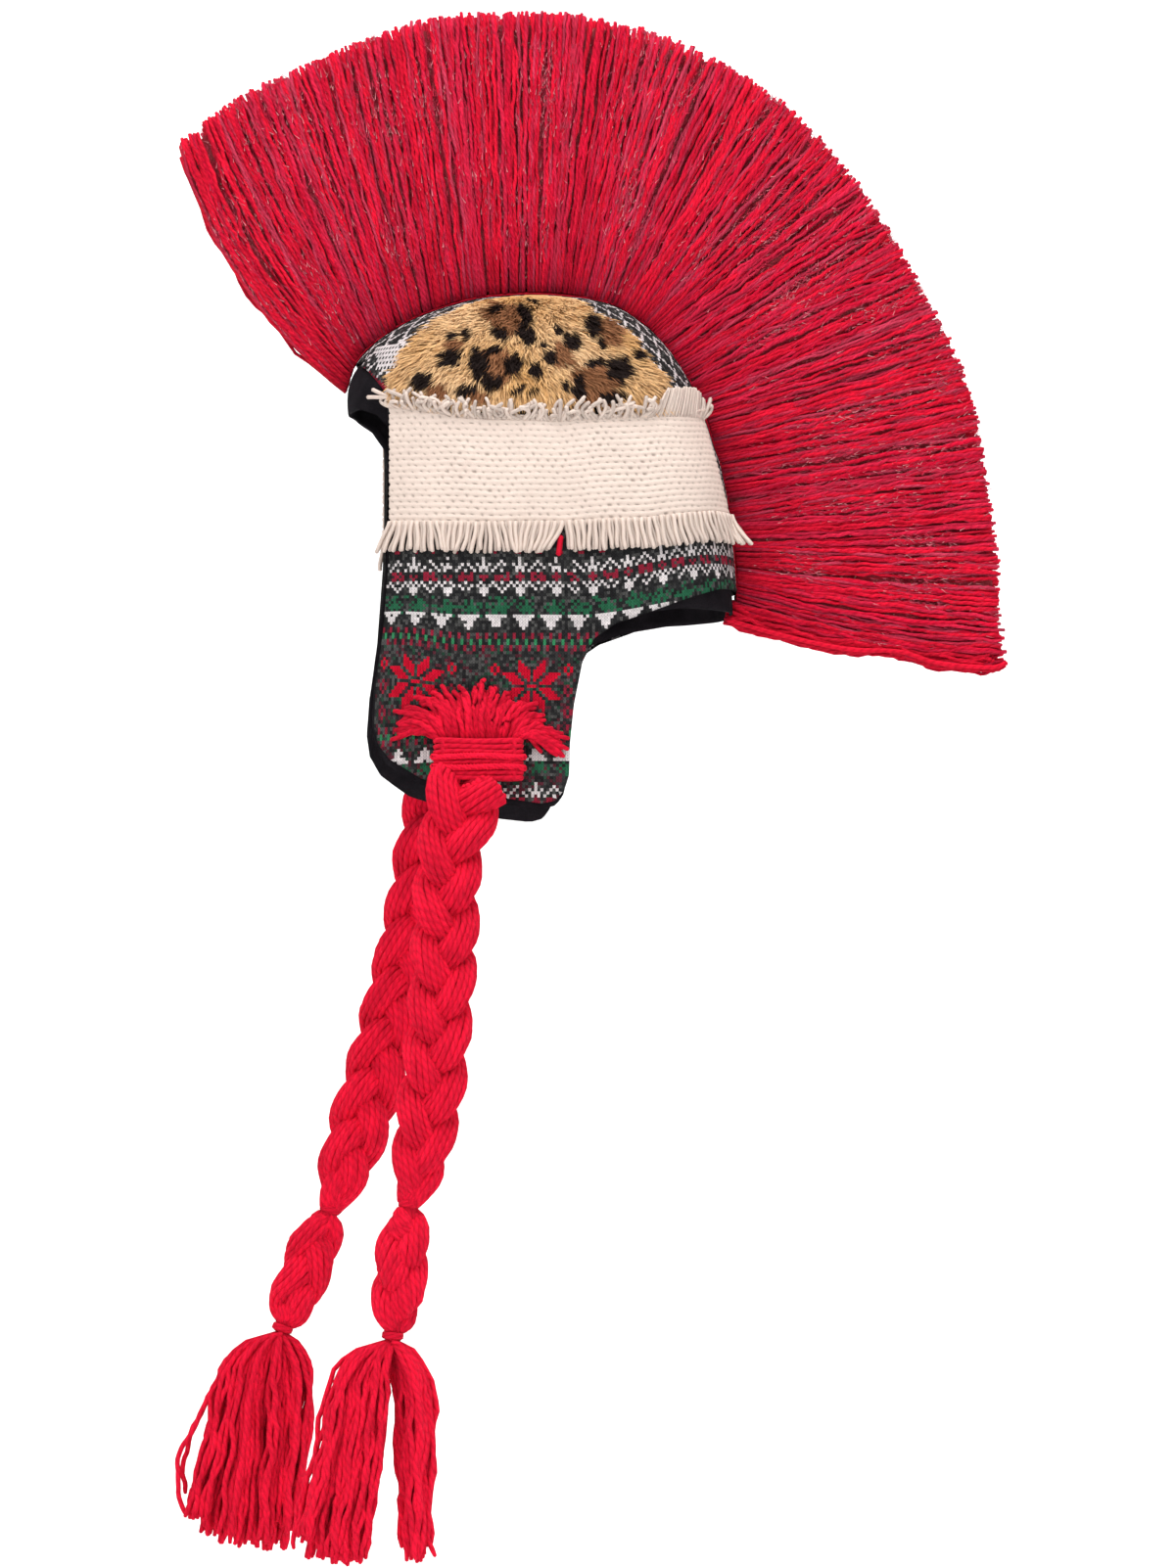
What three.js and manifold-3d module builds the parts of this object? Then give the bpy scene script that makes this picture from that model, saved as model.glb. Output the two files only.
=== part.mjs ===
// Knitted earflap hat with a yarn crest, fur and woven patches and two plaited ties.
// Millimetres. Z is up, the brow faces -Y, the wearer's left is +X.
// The origin is where the head meets the inside of the crown.
import * as THREE from 'three';
import Module from 'manifold-3d';

const wasm = await Module();
wasm.setup();

// Driving sizes
const KNIT_WALL = 2.2;
const LINING_WALL = 1.5;
const CLEAR = 0.4;
const SEAM_CLEAR = 0.3;
const STRIP_HALF_WIDTH = 27;
const CROWN_SIDES = 24;
const CREST_LOCKS = 18;
const CREST_ROOT_HALF = 11;
const CREST_TIP_HALF = 15;
const CREST_TAPE_RISE = 6;
const FUR_BACKING = 2.4;
const FUR_PILE = 3.6;
const FUR_FOOT = -60;
const FUR_SEAM_HALF = 35;
const FUR_LOCK_WIDTH = 15;
const WOVEN_THICK = 2.4;
const FRINGE_STRANDS_TOP = 9;
const FRINGE_STRANDS_BOTTOM = 10;
const FRINGE_THICK = 2.8;
const PLAIT_STRAND_SIDES = 5;
const PLAIT_SECTIONS = 17;
const PLAIT_TURNS = 2.8;
const PLAIT_TOP_CUT = 7;
const PLAIT_END_CUT = 1.5;
const BAND_THICK = 17;
const TIE_HALF_WIDTH = 5.8;
const TIE_RISE = 4.5;
const BOBBLE_LENGTH = 66;
const BOBBLE_HALF_WIDTH = 16;
const BOBBLE_HALF_DEPTH = 14;
const TASSEL_LOCK_SIDES = 5;

// Crown and flap form: one row for each level, from the top down
const crownRows = [
  { z: 5.0, front: -15, back: -15, half: 0, square: 2.0 },
  { z: 2.0, front: -45, back: 15, half: 25, square: 2.0 },
  { z: -2.0, front: -61, back: 31, half: 38, square: 2.0 },
  { z: -8.0, front: -78, back: 41, half: 50, square: 2.05 },
  { z: -16, front: -93, back: 51, half: 61, square: 2.1 },
  { z: -26, front: -106, back: 60, half: 70, square: 2.15 },
  { z: -38, front: -115, back: 68, half: 77, square: 2.2 },
  { z: -52, front: -118.5, back: 75, half: 82, square: 2.3 },
  { z: -72, front: -119, back: 82, half: 85.5, square: 2.4 },
  { z: -104, front: -118, back: 91, half: 87.8, square: 2.55 },
  { z: -165, front: -117, back: 97, half: 86.2, square: 2.9 },
  { z: -225, front: -118, back: 97, half: 82, square: 3.2 },
  { z: -292, front: -119, back: 96, half: 78, square: 3.4 },
];

// Edge of the knit seen from the side, from the brow round the flap to the nape
const knitEdge = [
  { y: -130, z: -34 },
  { y: -114, z: -34 },
  { y: -107, z: -42 },
  { y: -99, z: -54 },
  { y: -96, z: -72 },
  { y: -95, z: -98 },
  { y: -96.2, z: -142 },
  { y: -99.3, z: -184 },
  { y: -103.4, z: -216 },
  { y: -104.2, z: -238 },
  { y: -102, z: -248 },
  { y: -96, z: -256 },
  { y: -79, z: -267 },
  { y: -54, z: -273.5 },
  { y: -31, z: -278 },
  { y: -14, z: -280.5 },
  { y: -6.5, z: -279 },
  { y: -1.5, z: -273 },
  { y: 1, z: -265 },
  { y: 1.4, z: -248 },
  { y: 3.5, z: -227 },
  { y: 8, z: -204 },
  { y: 14.5, z: -191 },
  { y: 26, z: -183 },
  { y: 43, z: -177 },
  { y: 65, z: -168.6 },
  { y: 84, z: -162 },
  { y: 110, z: -158 },
];

// Edge of the lining, which hangs below the knit at the brow and the nape
const liningEdge = [
  { y: -130, z: -61 },
  { y: -114, z: -62 },
  { y: -104, z: -67 },
  { y: -97, z: -76 },
  { y: -95.2, z: -98 },
  { y: -96.4, z: -142 },
  { y: -101, z: -184 },
  { y: -107, z: -216 },
  { y: -108.4, z: -236 },
  { y: -106.5, z: -248 },
  { y: -100, z: -258 },
  { y: -82, z: -269.5 },
  { y: -55, z: -277 },
  { y: -31, z: -281.5 },
  { y: -13, z: -283.5 },
  { y: -6, z: -281.5 },
  { y: -2, z: -276 },
  { y: 0.4, z: -266 },
  { y: 0.4, z: -248 },
  { y: 1.6, z: -227 },
  { y: 5.2, z: -205 },
  { y: 11.5, z: -191.5 },
  { y: 23, z: -183 },
  { y: 41, z: -177 },
  { y: 64, z: -173.5 },
  { y: 86, z: -173 },
  { y: 110, z: -173 },
];

// Fur patch, seen from the side
const furOutline = [
  { y: -95, z: FUR_FOOT },
  { y: -91, z: -44 },
  { y: -83, z: -31 },
  { y: -70, z: -19 },
  { y: -50, z: -7 },
  { y: -40, z: 6 },
  { y: 4, z: 6 },
  { y: 10, z: -9 },
  { y: 29, z: -19 },
  { y: 40, z: -35 },
  { y: 50, z: -45 },
  { y: 57, z: FUR_FOOT },
];

// Fur locks that stand out past the rim of the patch, from their foot to their tip
const furRim = [
  { y: -86, z: -50, toY: -96, toZ: -53 },
  { y: -83, z: -40, toY: -94, toZ: -40 },
  { y: -76, z: -30, toY: -86, toZ: -26 },
  { y: -66, z: -22, toY: -74, toZ: -15 },
  { y: 14, z: -17, toY: 19, toZ: -10 },
  { y: 28, z: -26, toY: 36, toZ: -19 },
  { y: 37, z: -37, toY: 47, toZ: -32 },
  { y: 44, z: -48, toY: 57, toZ: -46 },
];

// Woven band, seen from the side: top and bottom woven edges
const wovenEdges = [
  { y: -96.6, top: -70.5, bottom: -129.5 },
  { y: -53, top: -71.5, bottom: -131 },
  { y: -5, top: -72, bottom: -130.5 },
  { y: 43, top: -68.5, bottom: -128 },
  { y: 77.5, top: -65.5, bottom: -122.5 },
  { y: 90.5, top: -120.5, bottom: -121.5 },
];

// Crest: where each part of the fan starts on the crown and where its yarns end
const crestRows = [
  { rootY: -119.6, rootZ: -46, tipY: -210.5, tipZ: 88, bow: 14 },
  { rootY: -110, rootZ: -30, tipY: -182.5, tipZ: 111, bow: 4 },
  { rootY: -89, rootZ: -14, tipY: -135.5, tipZ: 134.5, bow: 1 },
  { rootY: -71.5, rootZ: -5.5, tipY: -101.5, tipZ: 149, bow: 0 },
  { rootY: -51, rootZ: 1, tipY: -71.7, tipZ: 158, bow: 0 },
  { rootY: -25.5, rootZ: 4.5, tipY: -28.3, tipZ: 162, bow: 0 },
  { rootY: -1, rootZ: 4.4, tipY: 15.3, tipZ: 159.8, bow: 0 },
  { rootY: 20, rootZ: 0.8, tipY: 66.2, tipZ: 145.6, bow: 0 },
  { rootY: 39.5, rootZ: -7.5, tipY: 118.5, tipZ: 116, bow: 0 },
  { rootY: 54, rootZ: -21, tipY: 165.6, tipZ: 67, bow: 0 },
  { rootY: 76, rootZ: -54, tipY: 206.5, tipZ: -1.5, bow: 0 },
  { rootY: 84.5, rootZ: -80, tipY: 227, tipZ: -47.5, bow: 0 },
  { rootY: 92, rootZ: -115, tipY: 236.5, tipZ: -96, bow: 0 },
  { rootY: 95.5, rootZ: -138, tipY: 242.5, tipZ: -137.5, bow: -1 },
  { rootY: 96.5, rootZ: -154, tipY: 243.5, tipZ: -172.5, bow: -3 },
  { rootY: 97, rootZ: -168, tipY: 245.5, tipZ: -192.5, bow: -7 },
];

// One yarn lock of the crest, from its root to its cut end
const crestLockRows = [
  { rise: 0.026, wide: 1.03, thick: 0.94, whereBowed: false },
  { rise: 0.5, wide: 1.03, thick: 1, whereBowed: true },
  { rise: 0.94, wide: 0.97, thick: 0.95, whereBowed: false },
  { rise: 1, wide: 0.78, thick: 0.7, whereBowed: false },
];

// Ties: the line that each plait hangs along, from the binding band down
const leftPlaitLine = [
  { x: 91, y: -49.5, z: -262 },
  { x: 91, y: -61.5, z: -296 },
  { x: 90, y: -65.3, z: -323 },
  { x: 90, y: -66.3, z: -349.5 },
  { x: 90, y: -67.9, z: -376 },
  { x: 89, y: -69.9, z: -402 },
  { x: 88, y: -72.5, z: -428.5 },
  { x: 87, y: -76.7, z: -455 },
  { x: 86.5, y: -80.6, z: -478 },
  { x: 86, y: -85.4, z: -496 },
];
const rightPlaitLine = [
  { x: -91, y: -56.5, z: -262 },
  { x: -91, y: -68.5, z: -296 },
  { x: -90, y: -75, z: -326.5 },
  { x: -90, y: -82, z: -360 },
  { x: -89, y: -90.2, z: -393 },
  { x: -88, y: -97.8, z: -420 },
  { x: -87, y: -108, z: -453 },
  { x: -86.5, y: -116.5, z: -478.5 },
  { x: -86, y: -124.2, z: -499 },
];

// Plait thickness along its length, from the band to the upper tie
const plaitRows = [
  { at: 0, spread: 15, depth: 2, radius: 7 },
  { at: 0.08, spread: 13, depth: 4, radius: 8.4 },
  { at: 0.2, spread: 9.6, depth: 5, radius: 8.6 },
  { at: 0.8, spread: 9.6, depth: 5, radius: 8.6 },
  { at: 0.92, spread: 7.5, depth: 3.6, radius: 8 },
  { at: 1, spread: 1.2, depth: 1, radius: 5.4 },
];

// Tassel locks: where each lock ends, across the tassel and below its tie
const leftTasselLocks = [
  { across: -46, drop: 107, deep: 3, width: 8 },
  { across: -39, drop: 116, deep: -5, width: 8.5 },
  { across: -30, drop: 118, deep: 5, width: 9 },
  { across: -21, drop: 119, deep: -3, width: 9 },
  { across: -14, drop: 117, deep: 5, width: 8.5 },
  { across: 2, drop: 108, deep: -5, width: 8 },
  { across: 8, drop: 117, deep: 4, width: 8 },
  { across: 14, drop: 112, deep: -1, width: 8 },
];
const rightTasselLocks = [
  { across: -46, drop: 104, deep: 3, width: 8 },
  { across: -38, drop: 112, deep: -5, width: 8.5 },
  { across: -29, drop: 116, deep: 5, width: 9 },
  { across: -20, drop: 118, deep: -3, width: 9 },
  { across: -11, drop: 118, deep: 6, width: 8.5 },
  { across: -3, drop: 120, deep: -6, width: 8 },
  { across: 5, drop: 108, deep: 3, width: 8 },
];

// One tassel lock, from the bound head to its cut end
const tasselLockRows = [
  { drop: 0.05, spread: 0.3, fat: 0.55 },
  { drop: 0.2, spread: 0.58, fat: 0.9 },
  { drop: 0.55, spread: 0.76, fat: 1 },
  { drop: 1, spread: 1, fat: 0.68 },
];

// Ends of the tie yarns that fan out above the binding band
const tuftLocks = [
  { across: -41, rise: -12, deep: 3, width: 9 },
  { across: -34, rise: 0, deep: 4, width: 12 },
  { across: -17, rise: 9, deep: 5, width: 14 },
  { across: 4, rise: 10, deep: 5, width: 14 },
  { across: 24, rise: 6, deep: 5, width: 13 },
  { across: 38, rise: -5, deep: 4, width: 11 },
  { across: 45, rise: -18, deep: 3, width: 8 },
];

const vec = (x, y, z) => new THREE.Vector3(x, y, z);

function mix(a, b, t) {
  return a + (b - a) * t;
}

// Smooth value of a table column at a fractional row number
function between(rows, key, at) {
  const last = rows.length - 1;
  const i = Math.min(Math.max(Math.floor(at), 0), last - 1);
  const t = at - i;
  const p1 = rows[i][key];
  const p2 = rows[i + 1][key];
  const p0 = i > 0 ? rows[i - 1][key] : 2 * p1 - p2;
  const p3 = i < last - 1 ? rows[i + 2][key] : 2 * p2 - p1;
  const bend = 2 * p0 - 5 * p1 + 4 * p2 - p3;
  const turn = -p0 + 3 * p1 - 3 * p2 + p3;
  return 0.5 * (2 * p1 + (p2 - p0) * t + bend * t * t + turn * t * t * t);
}

// Straight-line value of a column against another column
function lookUp(rows, by, key, value) {
  let i = 0;
  while (i < rows.length - 2 && value > rows[i + 1][by]) {
    i += 1;
  }
  const t = (value - rows[i][by]) / (rows[i + 1][by] - rows[i][by]);
  return mix(rows[i][key], rows[i + 1][key], Math.min(Math.max(t, 0), 1));
}

// Closed body from rings of points, with a fan over each end
function ringBody(rings) {
  const count = rings[0].length;
  const points = rings.flat();
  const faces = [];
  for (let r = 0; r < rings.length - 1; r += 1) {
    for (let c = 0; c < count; c += 1) {
      const a = r * count + c;
      const b = r * count + ((c + 1) % count);
      faces.push([a, b, b + count], [a, b + count, a + count]);
    }
  }
  const ends = [rings[0], rings[rings.length - 1]];
  ends.forEach((ring, e) => {
    const middle = vec(0, 0, 0);
    ring.forEach((p) => middle.addScaledVector(p, 1 / count));
    const m = points.length;
    points.push(middle);
    const first = e === 0 ? 0 : (rings.length - 1) * count;
    for (let c = 0; c < count; c += 1) {
      const a = first + c;
      const b = first + ((c + 1) % count);
      faces.push(e === 0 ? [m, b, a] : [m, a, b]);
    }
  });
  return solid(points, faces);
}

// Manifold body from points and faces, turned so that its faces look outwards
function solid(points, faces) {
  let volume = 0;
  faces.forEach(([a, b, c]) => {
    volume += points[a].dot(vec(0, 0, 0).crossVectors(points[b], points[c]));
  });
  const ordered = volume < 0 ? faces.map(([a, b, c]) => [a, c, b]) : faces;
  const mesh = new wasm.Mesh({
    numProp: 3,
    vertProperties: new Float32Array(points.flatMap((p) => [p.x, p.y, p.z])),
    triVerts: new Uint32Array(ordered.flat()),
  });
  return new wasm.Manifold(mesh);
}

function joined(bodies) {
  return bodies.reduce((whole, body) => whole.add(body));
}

// Point of the crown surface at a level and an angle, pushed outwards along its normal
function levelPoint(level, angle) {
  const front = between(crownRows, 'front', level);
  const back = between(crownRows, 'back', level);
  const half = between(crownRows, 'half', level);
  const square = between(crownRows, 'square', level);
  const z = between(crownRows, 'z', level);
  const c = Math.cos(angle);
  const s = Math.sin(angle);
  const reach = (Math.abs(c) ** square + Math.abs(s) ** square) ** (-1 / square);
  return vec(half * reach * c, (front + back) / 2 + ((back - front) / 2) * reach * s, z);
}

function crownPoint(level, angle, out) {
  const p = levelPoint(level, angle);
  if (level < 0.01) {
    return p.add(vec(0, 0, out));
  }
  const step = 0.02;
  const along = levelPoint(level, angle + step).sub(levelPoint(level, angle - step));
  const down = levelPoint(level + step, angle).sub(levelPoint(level - step, angle));
  const normal = vec(0, 0, 0).crossVectors(down, along).normalize();
  return p.addScaledVector(normal, out);
}

// Whole solid form of the crown at a distance outside its surface
function crownForm(out, relief = () => 0) {
  const last = crownRows.length - 1;
  const points = [crownPoint(0, 0, out)];
  const faces = [];
  for (let level = 1; level <= last; level += 1) {
    for (let c = 0; c < CROWN_SIDES; c += 1) {
      const angle = (c / CROWN_SIDES) * 2 * Math.PI;
      points.push(crownPoint(level, angle, out + relief(level, c)));
    }
  }
  const at = (level, c) => 1 + (level - 1) * CROWN_SIDES + (c % CROWN_SIDES);
  for (let c = 0; c < CROWN_SIDES; c += 1) {
    faces.push([0, at(1, c), at(1, c + 1)]);
    for (let level = 1; level < last; level += 1) {
      faces.push([at(level, c), at(level + 1, c), at(level + 1, c + 1)]);
      faces.push([at(level, c), at(level + 1, c + 1), at(level, c + 1)]);
    }
  }
  points.push(vec(0, -10, crownRows[last].z));
  const floor = points.length - 1;
  for (let c = 0; c < CROWN_SIDES; c += 1) {
    faces.push([floor, at(last, c + 1), at(last, c)]);
  }
  return solid(points, faces);
}

function crownShell(inner, outer) {
  return crownForm(outer).subtract(crownForm(inner));
}

// Block with a side outline, from one side plane to another
function sideBlock(outline, fromX, toX) {
  const shape = new THREE.Shape(outline.map((p) => new THREE.Vector2(p.y, p.z)));
  const block = new THREE.ExtrudeGeometry(shape, { depth: toX - fromX, bevelEnabled: false });
  const position = block.getAttribute('position');
  const index = new Map();
  const points = [];
  const faces = [];
  for (let i = 0; i < position.count; i += 3) {
    const face = [0, 1, 2].map((k) => {
      const y = position.getX(i + k);
      const z = position.getY(i + k);
      const x = position.getZ(i + k) + fromX;
      const key = [x, y, z].map((n) => n.toFixed(4)).join(' ');
      if (!index.has(key)) {
        index.set(key, points.length);
        points.push(vec(x, y, z));
      }
      return index.get(key);
    });
    faces.push(face);
  }
  return solid(points, faces);
}

function aboveEdge(edge, fromX, toX) {
  const top = [{ y: 130, z: edge[edge.length - 1].z }, { y: 130, z: 40 }, { y: -130, z: 40 }];
  return sideBlock([...edge, ...top], fromX, toX);
}

// Level and angle of the crown point that is seen at a side position
function sideHit(y, z, side) {
  let low = 0;
  let high = Math.PI;
  const level = levelAt(z);
  for (let i = 0; i < 40; i += 1) {
    const middle = (low + high) / 2;
    if (levelPoint(level, middle - Math.PI / 2).y < y) {
      low = middle;
    } else {
      high = middle;
    }
  }
  const angle = (low + high) / 2 - Math.PI / 2;
  return { level, angle: side > 0 ? angle : Math.PI - angle };
}

function levelAt(z) {
  let low = 0;
  let high = crownRows.length - 1;
  for (let i = 0; i < 40; i += 1) {
    const middle = (low + high) / 2;
    if (between(crownRows, 'z', middle) > z) {
      low = middle;
    } else {
      high = middle;
    }
  }
  return (low + high) / 2;
}

// Flat strand that lies on the crown, between two heights at one angle
function strand(angle, fromZ, toZ, sway, width, low, high) {
  const rings = [fromZ, toZ].map((z, i) => {
    const level = levelAt(z);
    const radius = Math.hypot(levelPoint(level, angle).x, levelPoint(level, angle).y + 12);
    const turn = (width / 2 / radius) * (i === 1 ? 0.75 : 1);
    const middle = angle + (i === 1 ? sway / radius : 0);
    return [
      crownPoint(level, middle - turn, low),
      crownPoint(level, middle + turn, low),
      crownPoint(level, middle + turn, high),
      crownPoint(level, middle - turn, high),
    ];
  });
  return ringBody(rings);
}

// Lock of yarn along a list of centres, round or flattened
function yarnLock(centres, across, deep, sides) {
  const rings = centres.map((centre, i) => {
    const before = centres[Math.max(i - 1, 0)].point;
    const after = centres[Math.min(i + 1, centres.length - 1)].point;
    const along = after.clone().sub(before).normalize();
    const first = across.clone().addScaledVector(along, -across.dot(along)).normalize();
    const second = vec(0, 0, 0).crossVectors(along, first);
    const flat = deep;
    const ring = [];
    for (let c = 0; c < sides; c += 1) {
      const a = ((c + 0.5) / sides) * 2 * Math.PI;
      const p = centre.point.clone();
      p.addScaledVector(first, Math.cos(a) * centre.radius);
      p.addScaledVector(second, Math.sin(a) * centre.radius * flat);
      ring.push(p);
    }
    return ring;
  });
  return ringBody(rings);
}

// Crest: a sewn tape along the crown with the yarn locks that stand on it
function crest() {
  const last = crestRows.length - 1;
  const front = levelAt(crestRows[0].rootZ);
  const back = levelAt(crestRows[last].rootZ);
  const stations = [{ level: front, angle: -Math.PI / 2 }];
  for (let level = Math.floor(front); level > 0; level -= 1) {
    stations.push({ level, angle: -Math.PI / 2 });
  }
  for (let level = 0; level < back; level += 1) {
    stations.push({ level, angle: Math.PI / 2 });
  }
  stations.push({ level: back, angle: Math.PI / 2 });
  const tape = stations.map(({ level, angle }) => {
    const low = crownPoint(level, angle, CLEAR);
    const high = crownPoint(level, angle, CLEAR + CREST_TAPE_RISE);
    return [
      vec(-CREST_ROOT_HALF, low.y, low.z),
      vec(CREST_ROOT_HALF, low.y, low.z),
      vec(CREST_ROOT_HALF - 1, high.y, high.z),
      vec(1 - CREST_ROOT_HALF, high.y, high.z),
    ];
  });
  const bodies = [ringBody(tape)];
  const spot = (at, reach) => {
    const value = (key) => between(crestRows, key, at);
    const root = vec(0, value('rootY'), value('rootZ'));
    const reached = vec(0, value('tipY'), value('tipZ')).sub(root);
    const aside = vec(0, -reached.z, reached.y).normalize();
    const bulge = 4 * reach * (1 - reach) * value('bow');
    return root.addScaledVector(reached, reach).addScaledVector(aside, bulge);
  };
  for (let n = 0; n < CREST_LOCKS; n += 1) {
    const centre = ((n + 0.5) / CREST_LOCKS) * last;
    const wide = (0.5 / CREST_LOCKS) * last;
    const wobble = Math.sin(n * 2.4);
    const bowed = Math.abs(between(crestRows, 'bow', centre)) > 0.8;
    const used = crestLockRows.filter((row) => bowed || !row.whereBowed);
    const rows = used.map((row) => {
      const reach = row.rise + (row.rise > 0.9 ? 0.012 * wobble : 0);
      const half = mix(CREST_ROOT_HALF - 1, CREST_TIP_HALF, row.rise) * row.thick;
      const left = spot(centre - wide * row.wide, reach);
      const middle = spot(centre, reach);
      const right = spot(centre + wide * row.wide, reach);
      return [
        left.clone().add(vec(-0.8 * half, 0, 0)),
        middle.clone().add(vec(-half - 0.6 * wobble, 0, 0)),
        right.clone().add(vec(-0.8 * half, 0, 0)),
        right.clone().add(vec(0.8 * half, 0, 0)),
        middle.clone().add(vec(half - 0.6 * wobble, 0, 0)),
        left.clone().add(vec(0.8 * half, 0, 0)),
      ];
    });
    bodies.push(ringBody(rows));
  }
  return joined(bodies);
}

// Fur patch: pile in tufts over its backing, and locks that stand out at the rim
function furPatch(side) {
  const fromX = side > 0 ? FUR_SEAM_HALF : -120;
  const toX = side > 0 ? 120 : -FUR_SEAM_HALF;
  const window = sideBlock(furOutline, fromX, toX);
  const tufts = (level, c) => FUR_PILE * (0.5 + 0.5 * Math.sin(level * 2.6 + c * 2.2));
  const pile = crownForm(CLEAR + FUR_BACKING, tufts).subtract(crownForm(CLEAR));
  const bodies = [pile.intersect(window)];
  furRim.forEach((lock) => {
    const angles = [sideHit(lock.y, lock.z, side), sideHit(lock.toY, lock.toZ, side)];
    const half = FUR_LOCK_WIDTH / 2 / 75;
    const rings = angles.map((hit, i) => {
      const turn = half * (i === 0 ? 1 : 0.45);
      const top = CLEAR + (i === 0 ? FUR_BACKING + 1.6 : 2.2);
      return [
        crownPoint(hit.level, hit.angle - turn, CLEAR + 1.1),
        crownPoint(hit.level, hit.angle + turn, CLEAR + 1.1),
        crownPoint(hit.level, hit.angle + 0.6 * turn, top),
        crownPoint(hit.level, hit.angle - 0.6 * turn, top),
      ];
    });
    bodies.push(ringBody(rings));
  });
  return joined(bodies);
}

// Woven band with cut strands along its top and bottom edges
function wovenBand(side) {
  const outline = wovenEdges.map((p) => ({ y: p.y, z: p.bottom }));
  [...wovenEdges].reverse().forEach((p) => outline.push({ y: p.y, z: p.top }));
  const window = side > 0 ? sideBlock(outline, 12, 120) : sideBlock(outline, -120, -12);
  const bodies = [crownShell(CLEAR, CLEAR + WOVEN_THICK).intersect(window)];
  const fringe = (count, edge, toY, length, sign) => {
    const edgeZ = (y) => lookUp(wovenEdges, 'y', edge, y);
    const first = sideHit(-92, edgeZ(-92), side).angle;
    const last = sideHit(toY, edgeZ(toY), side).angle;
    const arc = Math.abs(last - first) * 92;
    for (let i = 0; i < count; i += 1) {
      const angle = mix(first, last, i / (count - 1));
      const z = edgeZ(levelPoint(levelAt(edgeZ(0)), angle).y);
      const sway = 2.5 * Math.sin(i * 2.3);
      const reach = length * (0.9 + 0.12 * Math.cos(i * 1.9));
      const low = CLEAR + 0.5;
      const high = low + FRINGE_THICK;
      const wide = (arc / count) * 0.6;
      const end = sign > 0 ? Math.min(z + reach, FUR_FOOT - 1.7) : z - reach;
      bodies.push(strand(angle, z - sign * 3, end, sway, wide, low, high));
    }
  };
  fringe(FRINGE_STRANDS_TOP, 'top', 70, 10, 1);
  fringe(FRINGE_STRANDS_BOTTOM, 'bottom', 83, 15, -1);
  return joined(bodies);
}

// Smooth line through the rows of a table
function lineThrough(rows) {
  return new THREE.CatmullRomCurve3(rows.map((p) => vec(p.x, p.y, p.z)));
}

// Three strands plaited along a line, cut level under the band and square at the end
function plait(rows, down) {
  const line = lineThrough(rows);
  const outward = Math.sign(rows[0].x);
  const strands = [0, 1, 2].map((k) => {
    const centres = [];
    for (let i = 0; i <= PLAIT_SECTIONS; i += 1) {
      const t = i / PLAIT_SECTIONS;
      const p = line.getPointAt(t);
      const along = line.getTangentAt(t);
      const across = vec(0, 0, 0).crossVectors(vec(1, 0, 0), along).normalize();
      const phase = PLAIT_TURNS * 2 * Math.PI * t + (k * 2 * Math.PI) / 3;
      p.addScaledVector(across, lookUp(plaitRows, 'at', 'spread', t) * Math.sin(phase));
      p.x -= outward * lookUp(plaitRows, 'at', 'depth', t) * Math.sin(2 * phase);
      centres.push({ point: p, radius: lookUp(plaitRows, 'at', 'radius', t) });
    }
    return yarnLock(centres, vec(1, 0, 0), 1.0, PLAIT_STRAND_SIDES);
  });
  const end = line.getPointAt(1);
  return joined(strands)
    .trimByPlane([0, 0, -1], -rows[0].z + PLAIT_TOP_CUT)
    .trimByPlane([-down.x, -down.y, -down.z], -end.dot(down) + PLAIT_END_CUT);
}

// Rounded body of rotation-like sections along a straight line, with yarn lobes
function lobedBody(from, to, rows, lobes, sides) {
  const along = to.clone().sub(from);
  const axis = along.clone().normalize();
  const deep = vec(1, 0, 0).addScaledVector(axis, -axis.x).normalize();
  const across = vec(0, 0, 0).crossVectors(axis, deep);
  const rings = rows.map((row) => {
    const centre = from.clone().addScaledVector(along, row.at);
    const ring = [];
    for (let c = 0; c < sides; c += 1) {
      const a = (c / sides) * 2 * Math.PI;
      const swell = 1 + row.lobe * Math.cos(lobes * (a + row.twist));
      const p = centre.clone();
      p.addScaledVector(across, Math.cos(a) * row.half * swell);
      p.addScaledVector(deep, Math.sin(a) * row.thick * swell);
      ring.push(p);
    }
    return ring;
  });
  return ringBody(rings);
}

// Yarn wound round the tie to close it
function windingRows(half) {
  return [
    { at: 0, half: half - 1.6, thick: half - 1.6, lobe: 0, twist: 0 },
    { at: 0.3, half, thick: half, lobe: 0, twist: 0 },
    { at: 0.7, half, thick: half, lobe: 0, twist: 0 },
    { at: 1, half: half - 1.6, thick: half - 1.6, lobe: 0, twist: 0 },
  ];
}

const bobbleRows = [
  { at: 0, half: 0.34, thick: 0.36, lobe: 0.05, twist: 0 },
  { at: 0.08, half: 0.74, thick: 0.72, lobe: 0.1, twist: 0.15 },
  { at: 0.3, half: 0.97, thick: 0.95, lobe: 0.12, twist: 0.4 },
  { at: 0.65, half: 1, thick: 1, lobe: 0.12, twist: 0.75 },
  { at: 0.9, half: 0.8, thick: 0.8, lobe: 0.1, twist: 1 },
  { at: 1, half: 0.34, thick: 0.36, lobe: 0.05, twist: 1.1 },
];

function bobble(from, to) {
  const rows = bobbleRows.map((row) => ({
    ...row,
    half: row.half * BOBBLE_HALF_WIDTH,
    thick: row.thick * BOBBLE_HALF_DEPTH,
  }));
  return lobedBody(from, to, rows, 4, 12);
}

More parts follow.
